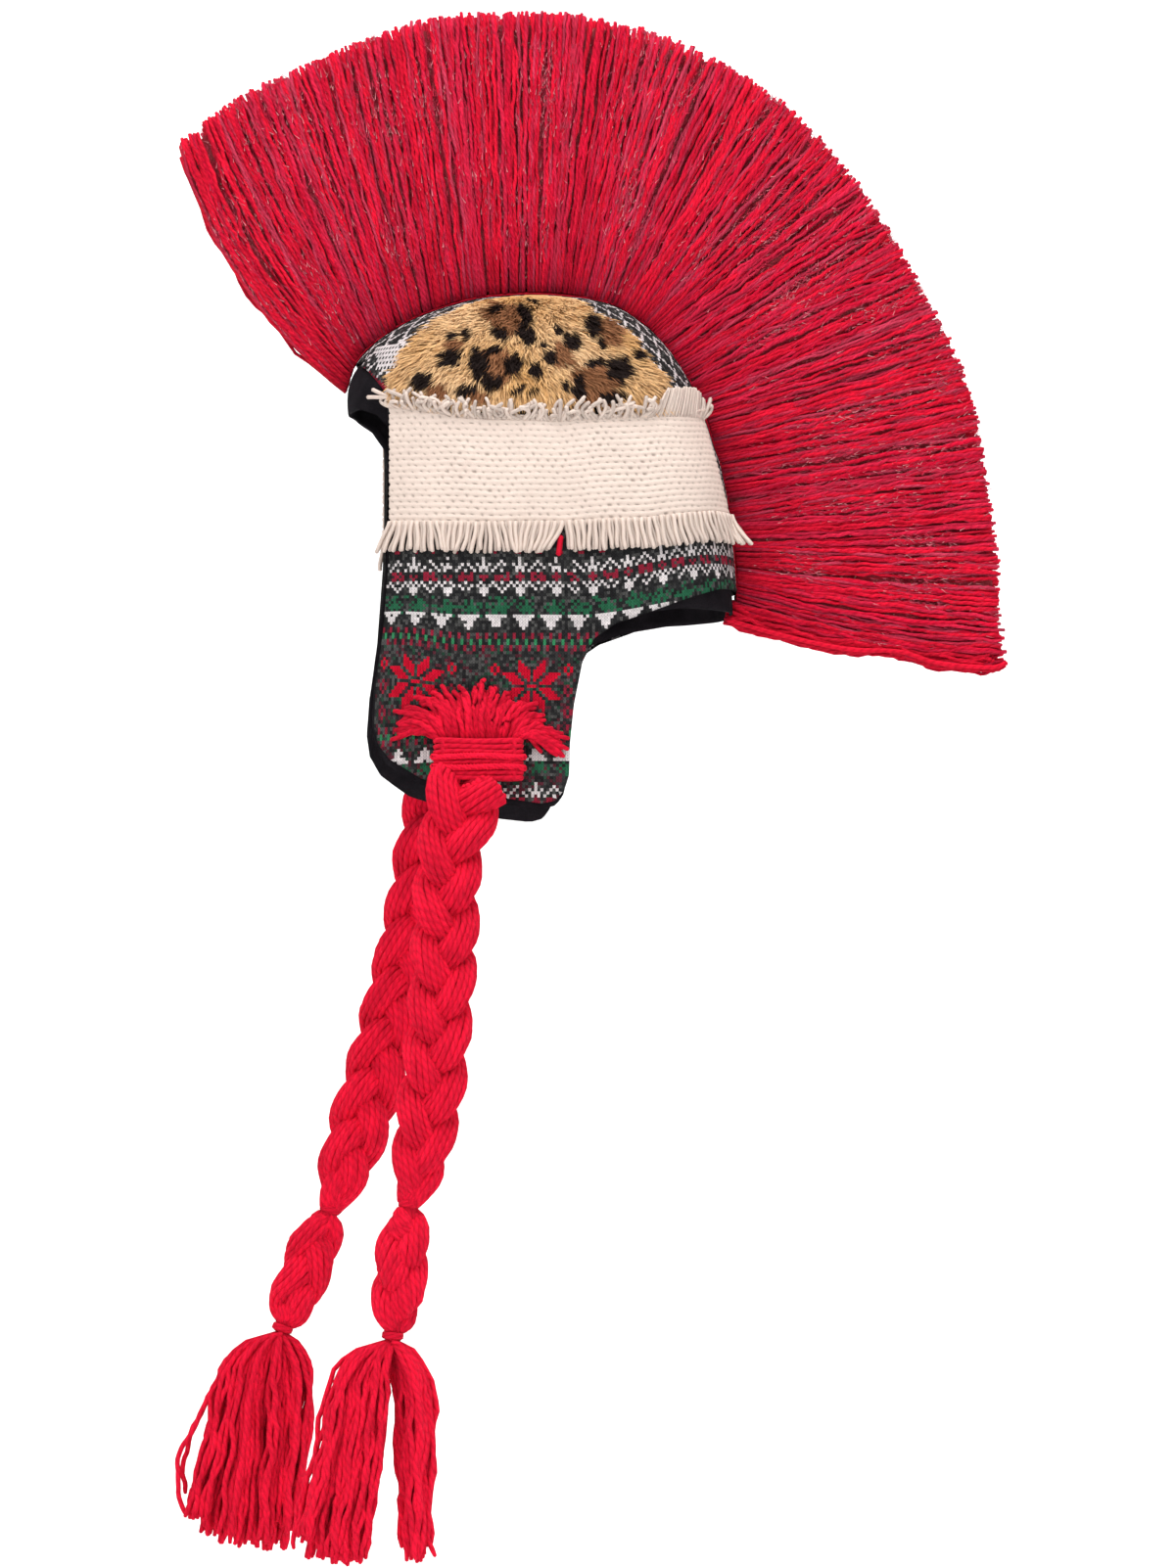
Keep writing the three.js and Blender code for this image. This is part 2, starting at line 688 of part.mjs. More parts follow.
// Tassel: a bound head with its locks of yarn
function tassel(head, down, locks) {
  const bodies = [];
  const headRows = [
    { at: 0, half: 5, thick: 5, lobe: 0, twist: 0 },
    { at: 0.35, half: 13, thick: 9, lobe: 0, twist: 0 },
    { at: 1, half: 16, thick: 10, lobe: 0, twist: 0 },
  ];
  bodies.push(lobedBody(head, head.clone().addScaledVector(down, 22), headRows, 1, 9));
  locks.forEach((lock) => {
    const centres = tasselLockRows.map((row) => ({
      point: head.clone().add(vec(lock.deep, lock.across, 0).multiplyScalar(row.spread))
        .add(vec(0, 0, -row.drop * lock.drop)),
      radius: lock.width * row.fat,
    }));
    bodies.push(yarnLock(centres, vec(0, 1, 0), 1.15, TASSEL_LOCK_SIDES));
  });
  return joined(bodies);
}

// Cut ends of the tie yarns above the band
function tuft(band, side) {
  const bodies = [];
  const foot = band.clone().add(vec(0, 0, 9));
  bodies.push(lobedBody(
    band.clone().add(vec(0, 0, 2 * CLEAR)),
    band.clone().add(vec(0, 0, 14)),
    [
      { at: 0, half: 22, thick: 5.2, lobe: 0, twist: 0 },
      { at: 1, half: 15, thick: 4.2, lobe: 0, twist: 0 },
    ],
    1,
    8,
  ));
  tuftLocks.forEach((lock) => {
    const start = foot.clone().add(vec(0, lock.across * 0.3, 0));
    const middle = foot.clone().add(vec(side * 2, lock.across * 0.72, lock.rise * 0.66 + 3));
    const end = foot.clone().add(vec(side * (lock.deep - 3), lock.across, lock.rise + 6));
    const centres = [
      { point: start, radius: lock.width * 0.5 },
      { point: middle, radius: lock.width * 0.62 },
      { point: end, radius: lock.width * 0.42 },
    ];
    bodies.push(yarnLock(centres, vec(0, 1, 0), 0.62, 5));
  });
  return joined(bodies);
}

// Flat band of yarn wound round the top of a plait
function bindingBand(top, bottom) {
  const rows = [
    { at: 0, half: 23.5, thick: 7.4, lobe: 0, twist: 0 },
    { at: 0.1, half: 25.5, thick: BAND_THICK / 2, lobe: 0, twist: 0 },
    { at: 0.42, half: 25.5, thick: BAND_THICK / 2, lobe: 0, twist: 0 },
    { at: 0.5, half: 24.4, thick: 7.4, lobe: 0, twist: 0 },
    { at: 0.58, half: 25.5, thick: BAND_THICK / 2, lobe: 0, twist: 0 },
    { at: 0.9, half: 25.5, thick: BAND_THICK / 2, lobe: 0, twist: 0 },
    { at: 1, half: 23.5, thick: 7.4, lobe: 0, twist: 0 },
  ];
  return lobedBody(top, bottom, rows, 1, 10);
}

const colours = {
  knit: 0x3c3835,
  lining: 0x1e1c1e,
  yarn: 0xd21630,
  fur: 0xd9ab6b,
  woven: 0xf4e8d5,
};

const group = new THREE.Group();
group.name = 'earflap_hat';

function addNode(name, body, colour) {
  const mesh = body.getMesh();
  const geometry = new THREE.BufferGeometry();
  const count = mesh.vertProperties.length / mesh.numProp;
  const position = new Float32Array(count * 3);
  for (let i = 0; i < count; i += 1) {
    for (let k = 0; k < 3; k += 1) {
      position[3 * i + k] = mesh.vertProperties[i * mesh.numProp + k];
    }
  }
  geometry.setAttribute('position', new THREE.BufferAttribute(position, 3));
  geometry.setIndex(new THREE.BufferAttribute(new Uint32Array(mesh.triVerts), 1));
  geometry.computeVertexNormals();
  const material = new THREE.MeshStandardMaterial({ color: colour, roughness: 0.9 });
  const node = new THREE.Mesh(geometry, material);
  node.name = name;
  group.add(node);
}

// Shells
const outerForm = crownForm(0);
const knitShell = outerForm.subtract(crownForm(-KNIT_WALL));
const liningOut = -KNIT_WALL - CLEAR;
const liningShell = crownShell(liningOut - LINING_WALL, liningOut);
const seam = STRIP_HALF_WIDTH + SEAM_CLEAR / 2;
const strip = STRIP_HALF_WIDTH - SEAM_CLEAR / 2;

addNode('side_panel_left', knitShell.intersect(aboveEdge(knitEdge, seam, 120)), colours.knit);
addNode('side_panel_right', knitShell.intersect(aboveEdge(knitEdge, -120, -seam)), colours.knit);
addNode('crown_strip', knitShell.intersect(aboveEdge(knitEdge, -strip, strip)), colours.knit);
addNode('lining', liningShell.intersect(aboveEdge(liningEdge, -120, 120)), colours.lining);
addNode('crest', crest(), colours.yarn);
addNode('fur_patch_left', furPatch(1), colours.fur);
addNode('fur_patch_right', furPatch(-1), colours.fur);
addNode('woven_band_left', wovenBand(1), colours.woven);
addNode('woven_band_right', wovenBand(-1), colours.woven);

// Ties
function addTie(name, side, plaitLine, bandTop, turn, locks) {
  const start = plaitLine[0];
  const end = plaitLine[plaitLine.length - 1];
  const down = vec(0, turn, -1).normalize();
  const place = (travel) => vec(end.x, end.y, end.z).addScaledVector(down, travel);
  const bandBottom = vec(bandTop.x, bandTop.y, start.z - PLAIT_TOP_CUT + CLEAR);
  const upperTop = CLEAR - PLAIT_END_CUT;
  const upperEnd = upperTop + TIE_RISE;
  const bobbleTop = upperEnd + CLEAR;
  const bobbleEnd = bobbleTop + BOBBLE_LENGTH;
  const lowerTop = bobbleEnd + CLEAR;
  const lowerEnd = lowerTop + TIE_RISE;
  const tie = (from, to) => lobedBody(place(from), place(to), windingRows(TIE_HALF_WIDTH), 1, 8);
  addNode(`tie_tuft_${name}`, tuft(bandTop, side), colours.yarn);
  addNode(`tie_band_${name}`, bindingBand(bandTop, bandBottom), colours.yarn);
  addNode(`plait_${name}`, plait(plaitLine, down), colours.yarn);
  addNode(`upper_tie_${name}`, tie(upperTop, upperEnd), colours.yarn);
  addNode(`bobble_${name}`, bobble(place(bobbleTop), place(bobbleEnd)), colours.yarn);
  addNode(`lower_tie_${name}`, tie(lowerTop, lowerEnd), colours.yarn);
  addNode(`tassel_${name}`, tassel(place(lowerEnd + CLEAR), down, locks), colours.yarn);
}

addTie('left', 1, leftPlaitLine, vec(88.3, -48.5, -246), -0.125, leftTasselLocks);
addTie('right', -1, rightPlaitLine, vec(-88.0, -55.5, -246), -0.4, rightTasselLocks);

export default group;
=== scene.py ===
"""Earflap hat: knit, fleece, fur, weave and yarn round the solids. Millimetres until a mesh is made."""

import math

import bpy
import numpy as np
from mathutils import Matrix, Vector


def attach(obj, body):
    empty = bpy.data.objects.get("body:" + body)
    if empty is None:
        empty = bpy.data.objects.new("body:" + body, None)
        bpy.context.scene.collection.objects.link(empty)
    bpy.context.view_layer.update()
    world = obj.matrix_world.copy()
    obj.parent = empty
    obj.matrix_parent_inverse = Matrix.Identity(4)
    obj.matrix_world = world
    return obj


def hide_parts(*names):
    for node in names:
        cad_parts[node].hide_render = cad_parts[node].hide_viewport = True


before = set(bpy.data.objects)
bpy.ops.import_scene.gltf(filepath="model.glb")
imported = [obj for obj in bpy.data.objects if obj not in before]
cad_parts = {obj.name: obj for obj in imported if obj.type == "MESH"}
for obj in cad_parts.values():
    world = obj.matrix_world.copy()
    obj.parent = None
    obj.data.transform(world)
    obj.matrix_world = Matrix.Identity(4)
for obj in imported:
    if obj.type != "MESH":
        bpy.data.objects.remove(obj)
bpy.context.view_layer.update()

MM = 0.001
TAU = 2 * math.pi
SCENE = bpy.context.scene

# Sizes, in millimetres, as in the part's source
KNIT_WALL = 2.2
LINING_WALL = 1.5
CLEAR = 0.4
LEAST_LEVEL = 0.02
STRIP_HALF = 27.0
CREST_ROOT_HALF = 11.0
CREST_TIP_HALF = 15.0
STITCH = 1.65
YARN = 1.5
SEAM_GAP = 0.15
FUR_SEAM_HALF = 35.0
MIDDLE_Y, MIDDLE_Z = -15, -60
WOVEN_RIBS = 18
BOBBLE_LENGTH = 66.0
TIE_RISE = 4.5
TIE_RADIUS = 4.9
TIE_LAPS = 2.6
PLAIT_TOP, BAND_BOTTOM = -268.2, -268.6
# Along a tie from the plait's end
UPPER_TOP = -1.1
BOBBLE_TOP = TIE_RISE - 1.1 + CLEAR
LOWER_TOP = BOBBLE_TOP + BOBBLE_LENGTH + CLEAR
TASSEL_TOP = LOWER_TOP + TIE_RISE + CLEAR
# How many yarns or hairs each thing is made of
YARNS = {"plait": 15, "core": 12, "bobble": 14, "gather": 10, "tassel": 21, "tuft": 130, "filler": 18,
         "top_fringe": 150, "bottom_fringe": 118, "loose": 48}
FUR_HAIRS = 23500
# Where each piece's random draws start. The right side of a pair starts one further on
SEED = {"yarn_starts": 5, "tie": 11, "knit_panel": 21, "knit_strip": 31, "lining": 41, "woven_band": 51,
        "fur_patch": 61, "outer": 71, "inner": 72, "crest_web": 73, "dull": 74, "crest_fuzz": 75}

# Crown and flap form, from the top down
CROWN = {
    "z": [5, 2, -2, -8, -16, -26, -38, -52, -72, -104, -165, -225, -292],
    "front": [-15, -45, -61, -78, -93, -106, -115, -118.5, -119, -118, -117, -118, -119],
    "back": [-15, 15, 31, 41, 51, 60, 68, 75, 82, 91, 97, 97, 96],
    "half": [0, 25, 38, 50, 61, 70, 77, 82, 85.5, 87.8, 86.2, 82, 78],
    "square": [2, 2, 2, 2.05, 2.1, 2.15, 2.2, 2.3, 2.4, 2.55, 2.9, 3.2, 3.4],
}

# Edge of the knit and of the lining from the side: y, z
KNIT_EDGE = np.array([
    (-130, -34), (-114, -34), (-107, -42), (-99, -54), (-96, -72), (-95, -98), (-96.2, -142),
    (-99.3, -184), (-103.4, -216), (-104.2, -238), (-102, -248), (-96, -256), (-79, -267),
    (-54, -273.5), (-31, -278), (-14, -280.5), (-6.5, -279), (-1.5, -273), (1, -265), (1.4, -248),
    (3.5, -227), (8, -204), (14.5, -191), (26, -183), (43, -177), (65, -168.6), (84, -162),
    (110, -158),
], float)
LINING_EDGE = np.array([
    (-130, -61), (-114, -62), (-104, -67), (-97, -76), (-95.2, -98), (-96.4, -142), (-101, -184),
    (-107, -216), (-108.4, -236), (-106.5, -248), (-100, -258), (-82, -269.5), (-55, -277),
    (-31, -281.5), (-13, -283.5), (-6, -281.5), (-2, -276), (0.4, -266), (0.4, -248), (1.6, -227),
    (5.2, -205), (11.5, -191.5), (23, -183), (41, -177), (64, -173.5), (86, -173), (110, -173),
], float)
FUR_OUTLINE = np.array([
    (-95, -61), (-91, -44), (-83, -31), (-70, -19), (-50, -7), (-40, 6), (4, 6), (10, -9),
    (29, -19), (40, -35), (50, -45), (57, -61),
], float)
# Woven band from front to back: where, first rib, how far the cloth stands over it, last rib
WOVEN_Y = [-96.6, -53, -5, 43, 77.5]
WOVEN_TOP = [-70.5, -71.5, -72, -68.5, -65.5]
WOVEN_LIFT = [9.5, 2.5, 1, 1, 1]
WOVEN_BOTTOM = [-129.5, -131, -130.5, -128, -122.5]

# Crest fan: where it stands on the crown, where its yarns end, and how far they bow
CREST = {
    "rootY": [-117.4, -110, -89, -71.5, -51, -25.5, -1, 20, 39.5, 54, 76, 84.5, 92, 95.5, 96.5, 95.3],
    "rootZ": [-50, -30, -14, -5.5, 1, 4.5, 4.4, 0.8, -7.5, -21, -54, -80, -115, -138, -154, -168],
    "tipY": [-210.5, -182.5, -135.5, -101.5, -71.7, -28.3, 15.3, 66.2, 118.5, 165.6, 206.5, 227,
             236.5, 242.5, 243.5, 245.5],
    "tipZ": [88, 111, 134.5, 149, 158, 162, 159.8, 145.6, 116, 67, -1.5, -47.5, -96, -137.5,
             -172.5, -192.5],
    "bow": [14, 4, 1, 0, 0, 0, 0, 0, 0, 0, 0, 0, 0, -1, -3, -7],
}

# The line that each plait hangs along: x, y, z
PLAIT_LINE = {
    "left": [(91, -49.5, -262), (91, -61.5, -296), (90, -65.3, -323), (90, -66.3, -349.5),
             (90, -67.9, -376), (89, -69.9, -402), (88, -72.5, -428.5), (87, -76.7, -455),
             (86.5, -80.6, -478), (86, -85.4, -496)],
    "right": [(-91, -56.5, -262), (-91, -68.5, -296), (-90, -75, -326.5), (-90, -82, -360),
              (-89, -90.2, -393), (-88, -97.8, -420), (-87, -108, -453), (-86.5, -116.5, -478.5),
              (-86, -124.2, -499)],
}
TIE_TURN = {"left": -0.125, "right": -0.4}
BAND_TOP = {"left": (88.3, -48.5, -246), "right": (-88.0, -55.5, -246)}
PLAIT_AT = [0, 0.08, 0.19, 0.8, 0.92, 1]
PLAIT_SPREAD = [17, 13.6, 10.2, 9.8, 7.5, 1.2]
PLAIT_DEPTH = [2, 4, 5.8, 5.8, 3.8, 1]
PLAIT_RADIUS = [8.8, 9.0, 8.6, 8.6, 8.0, 5.4]
PLAIT_TURNS = 2.8

# Tassel locks: across, drop, deep, width, bulge
TASSEL = {
    "left": [(-46, 107, 3, 8, 0), (-40, 116, -5, 8.5, 0), (-32, 118, 5, 9, 0), (-24, 119, -3, 8.5, 0),
             (-19, 117, 5, 7.5, 3), (-22, 115, -5, 8, 0), (11, 112, -5, 6.5, 1), (12, 117, 4, 7, 5),
             (15, 113, -1, 6.5, 7)],
    "right": [(-46, 104, 3, 8, 0), (-38, 112, -5, 8.5, 0), (-29, 116, 5, 9, 0), (-20, 118, -3, 9, 1),
              (-11, 118, 6, 8.5, 3), (-3, 120, -6, 8, 5), (4, 110, 3, 8, 8)],
}
TASSEL_AT = [0, 0.03, 0.06, 0.17, 0.34, 0.5, 0.67, 0.84, 1]
TASSEL_SPREAD = [0, 0.16, 0.36, 0.56, 0.66, 0.72, 0.80, 0.92, 1]
TASSEL_BULGE = [0, 0.2, 0.4, 0.9, 1.0, 0.8, 0.5, 0.2, 0]
TASSEL_FAT = [0.4, 0.6, 0.75, 0.9, 0.95, 0.92, 0.88, 0.84, 0.8]
# Loose strands beside a tassel: across and drop of the points that each passes
LOOSE = {
    "left": [[(0, 0), (6, 4), (16, 20), (22, 55), (19, 100), (23, 116)],
             [(0, 0), (-12, 4), (-27, 18), (-37, 48), (-50, 88), (-53, 112)]],
    "right": [[(0, 0), (-16, 7.6), (-35, 27.5), (-51, 58), (-57, 70), (-56.7, 88), (-53, 101)],
              [(0, 0), (-14, 6), (-33, 25), (-48, 52), (-54, 74), (-53, 90)]],
}
# Ends of the tuft's yarns: across and rise
TUFT_ENDS = [(-46, 5), (-42, 14), (-34, 21), (-20, 26), (-6, 29), (7, 28), (19, 23), (30, 16), (39, 8),
             (45, -1), (49, -9)]

# Knit charts, one letter for each stitch: w white, r red, m maroon, g dark green, t bright green, . ground
LATTICE = [
    ".....w......", ".....w.....w", "w..w.w.w..w.", ".w..www..w..", "..w.w.w.w..w",
    "mm...m...mm.", "mm..mmm..mmm", "mm...m...mm.",
    "..w.w.w.w..w", ".w.w.w.w.w..", "w...www...w.", "....www....w", ".....w......",
]
GREEN = ["....g....", "..g.g.g..", ".g.ggg.g.", "..ggggg..", "...g.g..."]
TRIANGLE = ["wwwwwww..", ".wwwww...", "..www....", "..www....", "...w....."]
RED_DOTS = ["m..", "m.."]
GREEN_DOTS = [".t.", ".t."]
FLAKE = [
    ".....r.......r.....", ".....rr.....rr.....", ".....rrr...rrr.....", ".....rrrr.rrrr.....",
    "rrrr..rrr.rrr..rrrr", ".rrrr..rr.rr..rrrr.", "..rrrr..r.r..rrrr..", "...rrrr.....rrrr...",
    "........rrr........",
]
SMALL = [".r.", "r.r", "r.r", ".r."]


def between(values, at):
    """Smooth value of a table column at fractional row numbers."""
    values = np.asarray(values, float)
    last = len(values) - 1
    at = np.asarray(at, float)
    i = np.clip(np.floor(at).astype(int), 0, last - 1)
    t = at - i
    p = np.concatenate([[2 * values[0] - values[1]], values, [2 * values[-1] - values[-2]]])
    p0, p1, p2, p3 = p[i], p[i + 1], p[i + 2], p[i + 3]
    bend = 2 * p0 - 5 * p1 + 4 * p2 - p3
    turn = -p0 + 3 * p1 - 3 * p2 + p3
    return 0.5 * (2 * p1 + (p2 - p0) * t + bend * t * t + turn * t ** 3)


def travelled(points):
    """How far along a line of points each of them is."""
    return np.concatenate([[0], np.cumsum(np.linalg.norm(np.diff(points, axis=0), axis=1))])


def unit(v):
    return v / np.maximum(np.linalg.norm(v, axis=-1, keepdims=True), 1e-9)


def smooth(t):
    t = np.clip(t, 0, 1)
    return t * t * (3 - 2 * t)


def mix(a, b, t):
    return a + (b - a) * t


def crown_form(level):
    return [between(CROWN[key], level) for key in ("front", "back", "half", "square", "z")]


def level_point(level, angle):
    front, back, half, square, z = crown_form(level)
    c, s = np.cos(angle), np.sin(angle)
    reach = (np.abs(c) ** square + np.abs(s) ** square) ** (-1 / square)
    y = (front + back) / 2 + (back - front) / 2 * reach * s
    return np.stack(np.broadcast_arrays(half * reach * c, y, z), -1)


def crown_normal(level, angle):
    level = np.maximum(level, 2 * LEAST_LEVEL)
    along = level_point(level, angle + 0.02) - level_point(level, angle - 0.02)
    down = level_point(level + LEAST_LEVEL, angle) - level_point(level - LEAST_LEVEL, angle)
    return unit(np.cross(down, along))


def crown_point(level, angle, out=0.0):
    level, angle, out = np.broadcast_arrays(level, angle, out)
    return level_point(level, angle) + crown_normal(level, angle) * out[..., None]


DENSE = np.linspace(0, len(CROWN["z"]) - 1, 1501)
DENSE_Z = between(CROWN["z"], DENSE)
DENSE_ARC = travelled(level_point(DENSE, np.zeros_like(DENSE)))


def level_at(z):
    return np.interp(-np.asarray(z, float), -DENSE_Z, DENSE)


def angle_at(y, level):
    """Angle, on the +X side, of the crown point with this y on a level."""
    front, back, _, square, _ = crown_form(level)
    t = np.clip((y - (front + back) / 2) / ((back - front) / 2), -1, 1)
    across = (1 - np.abs(t) ** square) ** (1 / square)
    return np.arctan2(t, across)


def inside(polygon, y, z):
    """True where the points are inside a closed outline."""
    result = np.zeros(np.shape(y), bool)
    y0, z0 = polygon[:, 0], polygon[:, 1]
    y1, z1 = np.roll(y0, -1), np.roll(z0, -1)
    for a, b, c, d in zip(y0, z0, y1, z1):
        if b != d:
            crosses = (b > z) != (d > z)
            result ^= crosses & (y < (c - a) * (z - b) / (d - b) + a)
    return result


def above(edge):
    top = [(130, edge[-1, 1]), (130, 40), (-130, 40)]
    return np.concatenate([edge, top])


def nearest_on(edge, y, z):
    """Nearest point of an open outline, and how far off it is."""
    best = np.full(len(y), 1e9)
    found = np.zeros((len(y), 2))
    p = np.stack([y, z], -1)
    for a, b in zip(edge[:-1], edge[1:]):
        d = b - a
        t = np.clip(((p - a) @ d) / (d @ d), 0, 1)
        q = a + t[:, None] * d
        off = np.linalg.norm(p - q, axis=1)
        better = off < best
        best[better], found[better] = off[better], q[better]
    return found, best


# Meshes
def mesh_object(name, points, faces, material, uv=None, tint=None, mirror=False):
    """A shown piece from arrays. tint is a colour for each point or corner, and uv a pair for each corner."""
    if mirror:
        points = points * (-1, 1, 1)
        uv = uv and [u.reshape(len(f), -1, 2)[:, ::-1] for u, f in zip(uv, faces)]
        faces = [f[:, ::-1] for f in faces]
    mesh = bpy.data.meshes.new(name)
    mesh.vertices.add(len(points))
    mesh.vertices.foreach_set("co", (np.asarray(points) * MM).astype(np.float32).ravel())
    sizes = np.concatenate([np.full(len(f), f.shape[1], np.int32) for f in faces])
    corners = np.concatenate([f.ravel() for f in faces]).astype(np.int32)
    mesh.loops.add(len(corners))
    mesh.loops.foreach_set("vertex_index", corners)
    mesh.polygons.add(len(sizes))
    starts = np.concatenate([[0], np.cumsum(sizes)[:-1]]).astype(np.int32)
    mesh.polygons.foreach_set("loop_start", starts)
    mesh.update(calc_edges=True)
    mesh.polygons.foreach_set("use_smooth", np.ones(len(sizes), bool))
    if uv is not None:
        layer = mesh.uv_layers.new(name="UVMap")
        layer.data.foreach_set("uv", np.concatenate([u.reshape(-1, 2) for u in uv]).astype(np.float32).ravel())
    if tint is not None:
        tint = np.asarray(tint, float)
        domain = "POINT" if len(tint) == len(points) else "CORNER"
        layer = mesh.color_attributes.new("Tint", "FLOAT_COLOR", domain)
        rgba = np.concatenate([tint, np.ones((len(tint), 1))], 1).astype(np.float32)
        layer.data.foreach_set("color", rgba.ravel())
    mesh.materials.append(material)
    mesh.update()
    made = bpy.data.objects.new(name, mesh)
    SCENE.collection.objects.link(made)
    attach(made, "root")
    return made


class Yarns:
    """Many yarns, cords or hairs with round sections, kept as one mesh."""

    def __init__(self, sides=5):
        self.sides = sides
        self.parts = {"points": [], "quads": [], "ends": [], "uv4": [], "uv3": [], "tint": []}
        self.count = 0
        self.rng = np.random.default_rng(SEED["yarn_starts"])

    def add(self, centres, radius, tint=1.0, aside=(1, 0, 0)):
        """Yarns along rows of points, with a radius and a tint each. aside is where a section starts."""
        centres = np.asarray(centres, float)
        if centres.ndim == 2:
            centres = centres[None]
        n, r, _ = centres.shape
        s = self.sides
        radius = np.broadcast_to(np.asarray(radius, float), (n, r))
        tint = np.asarray(tint, float)
        if tint.ndim < 3:
            tint = np.broadcast_to(tint, (n, r))[..., None] * np.ones(3)
        along = unit(np.gradient(centres, axis=1))
        aside = np.broadcast_to(np.asarray(aside, float), centres.shape)
        first = unit(aside - (aside * along).sum(-1, keepdims=True) * along)
        second = np.cross(along, first)
        turn = np.arange(s) / s * TAU
        ring = centres[:, :, None, :] + radius[:, :, None, None] * (
            np.cos(turn)[:, None] * first[:, :, None] + np.sin(turn)[:, None] * second[:, :, None])
        head = centres[:, :1] - along[:, :1] * radius[:, :1, None] * 0.5
        tail = centres[:, -1:] + along[:, -1:] * radius[:, -1:, None] * 0.5
        points = np.concatenate([ring.reshape(n, r * s, 3), head, tail], 1)
        j, c = np.meshgrid(np.arange(r - 1), np.arange(s), indexing="ij")
        d = (c + 1) % s
        quad = np.stack([j * s + c, j * s + d, (j + 1) * s + d, (j + 1) * s + c], -1).reshape(-1, 4)
        c = np.arange(s)
        d = (c + 1) % s
        last = (r - 1) * s
        caps = np.concatenate([np.stack([np.full(s, r * s), d, c], -1),
                               np.stack([np.full(s, r * s + 1), last + c, last + d], -1)])
        base = self.count + np.arange(n)[:, None, None] * (r * s + 2)
        step = np.linalg.norm(np.diff(centres, axis=1), axis=2)
        travel = np.concatenate([np.zeros((n, 1)), np.cumsum(step, 1)], 1) + self.rng.uniform(0, 90, (n, 1))
        u0 = np.broadcast_to(c / s, (n, r - 1, s))
        v0 = np.broadcast_to(travel[:, :-1, None], (n, r - 1, s))
        v1 = np.broadcast_to(travel[:, 1:, None], (n, r - 1, s))
        uv4 = np.stack([np.stack([u0, v0], -1), np.stack([u0 + 1 / s, v0], -1),
                        np.stack([u0 + 1 / s, v1], -1), np.stack([u0, v1], -1)], 3)
        ends = np.repeat(travel[:, [0, -1]], s, axis=1)
        uv3 = np.broadcast_to(np.stack([np.full((n, 2 * s), 0.5), ends], -1)[:, :, None, :], (n, 2 * s, 3, 2))
        tints = np.concatenate([np.repeat(tint, s, axis=1), tint[:, :1], tint[:, -1:]], 1)
        add = self.parts
        add["points"].append(points.reshape(-1, 3))
        add["quads"].append((base + quad).reshape(-1, 4))
        add["ends"].append((base + caps).reshape(-1, 3))
        add["uv4"].append(uv4.reshape(-1, 2))
        add["uv3"].append(uv3.reshape(-1, 2))
        add["tint"].append(tints.reshape(-1, 3))
        self.count += n * (r * s + 2)

    def made(self, name, material, slot):
        p = {key: np.concatenate(value) for key, value in self.parts.items()}
        return mesh_object(name, p["points"], [p["quads"], p["ends"]], material,
                           uv=[p["uv4"], p["uv3"]], tint=p["tint"])


def grid_faces(rows, columns, wrap=False):
    """Quads of a grid of points, row by row."""
    across = columns if wrap else columns - 1
    r, c = np.meshgrid(np.arange(rows - 1), np.arange(across), indexing="ij")
    d = (c + 1) % columns
    quads = [r * columns + c, (r + 1) * columns + c, (r + 1) * columns + d, r * columns + d]
    return np.stack(quads, -1).reshape(-1, 4)


def rim_of(faces):
    """Directed edges that only one of the quads has."""
    a = faces.ravel()
    b = np.roll(faces, -1, axis=1).ravel()
    big = int(faces.max()) + 1
    key = a.astype(np.int64) * big + b
    back = b.astype(np.int64) * big + a
    lone = ~np.isin(back, key)
    return a[lone], b[lone]


def shell(outer, inner, faces, whole=False):
    """Points and quads of a sheet: its outer face, and walls at its edge or a whole inner face."""
    a, b = rim_of(faces)
    used = np.unique(faces)
    under = used if whole else np.unique(np.concatenate([a, b]))
    at, low = np.full((2, len(outer)), -1)
    at[used] = np.arange(len(used))
    low[under] = len(used) + np.arange(len(under))
    walls = np.stack([at[b], at[a], low[a], low[b]], -1)
    parts = [at[faces], low[faces][:, ::-1], walls] if whole else [at[faces], walls]
    return np.concatenate([outer[used], inner[under]]), np.concatenate(parts)


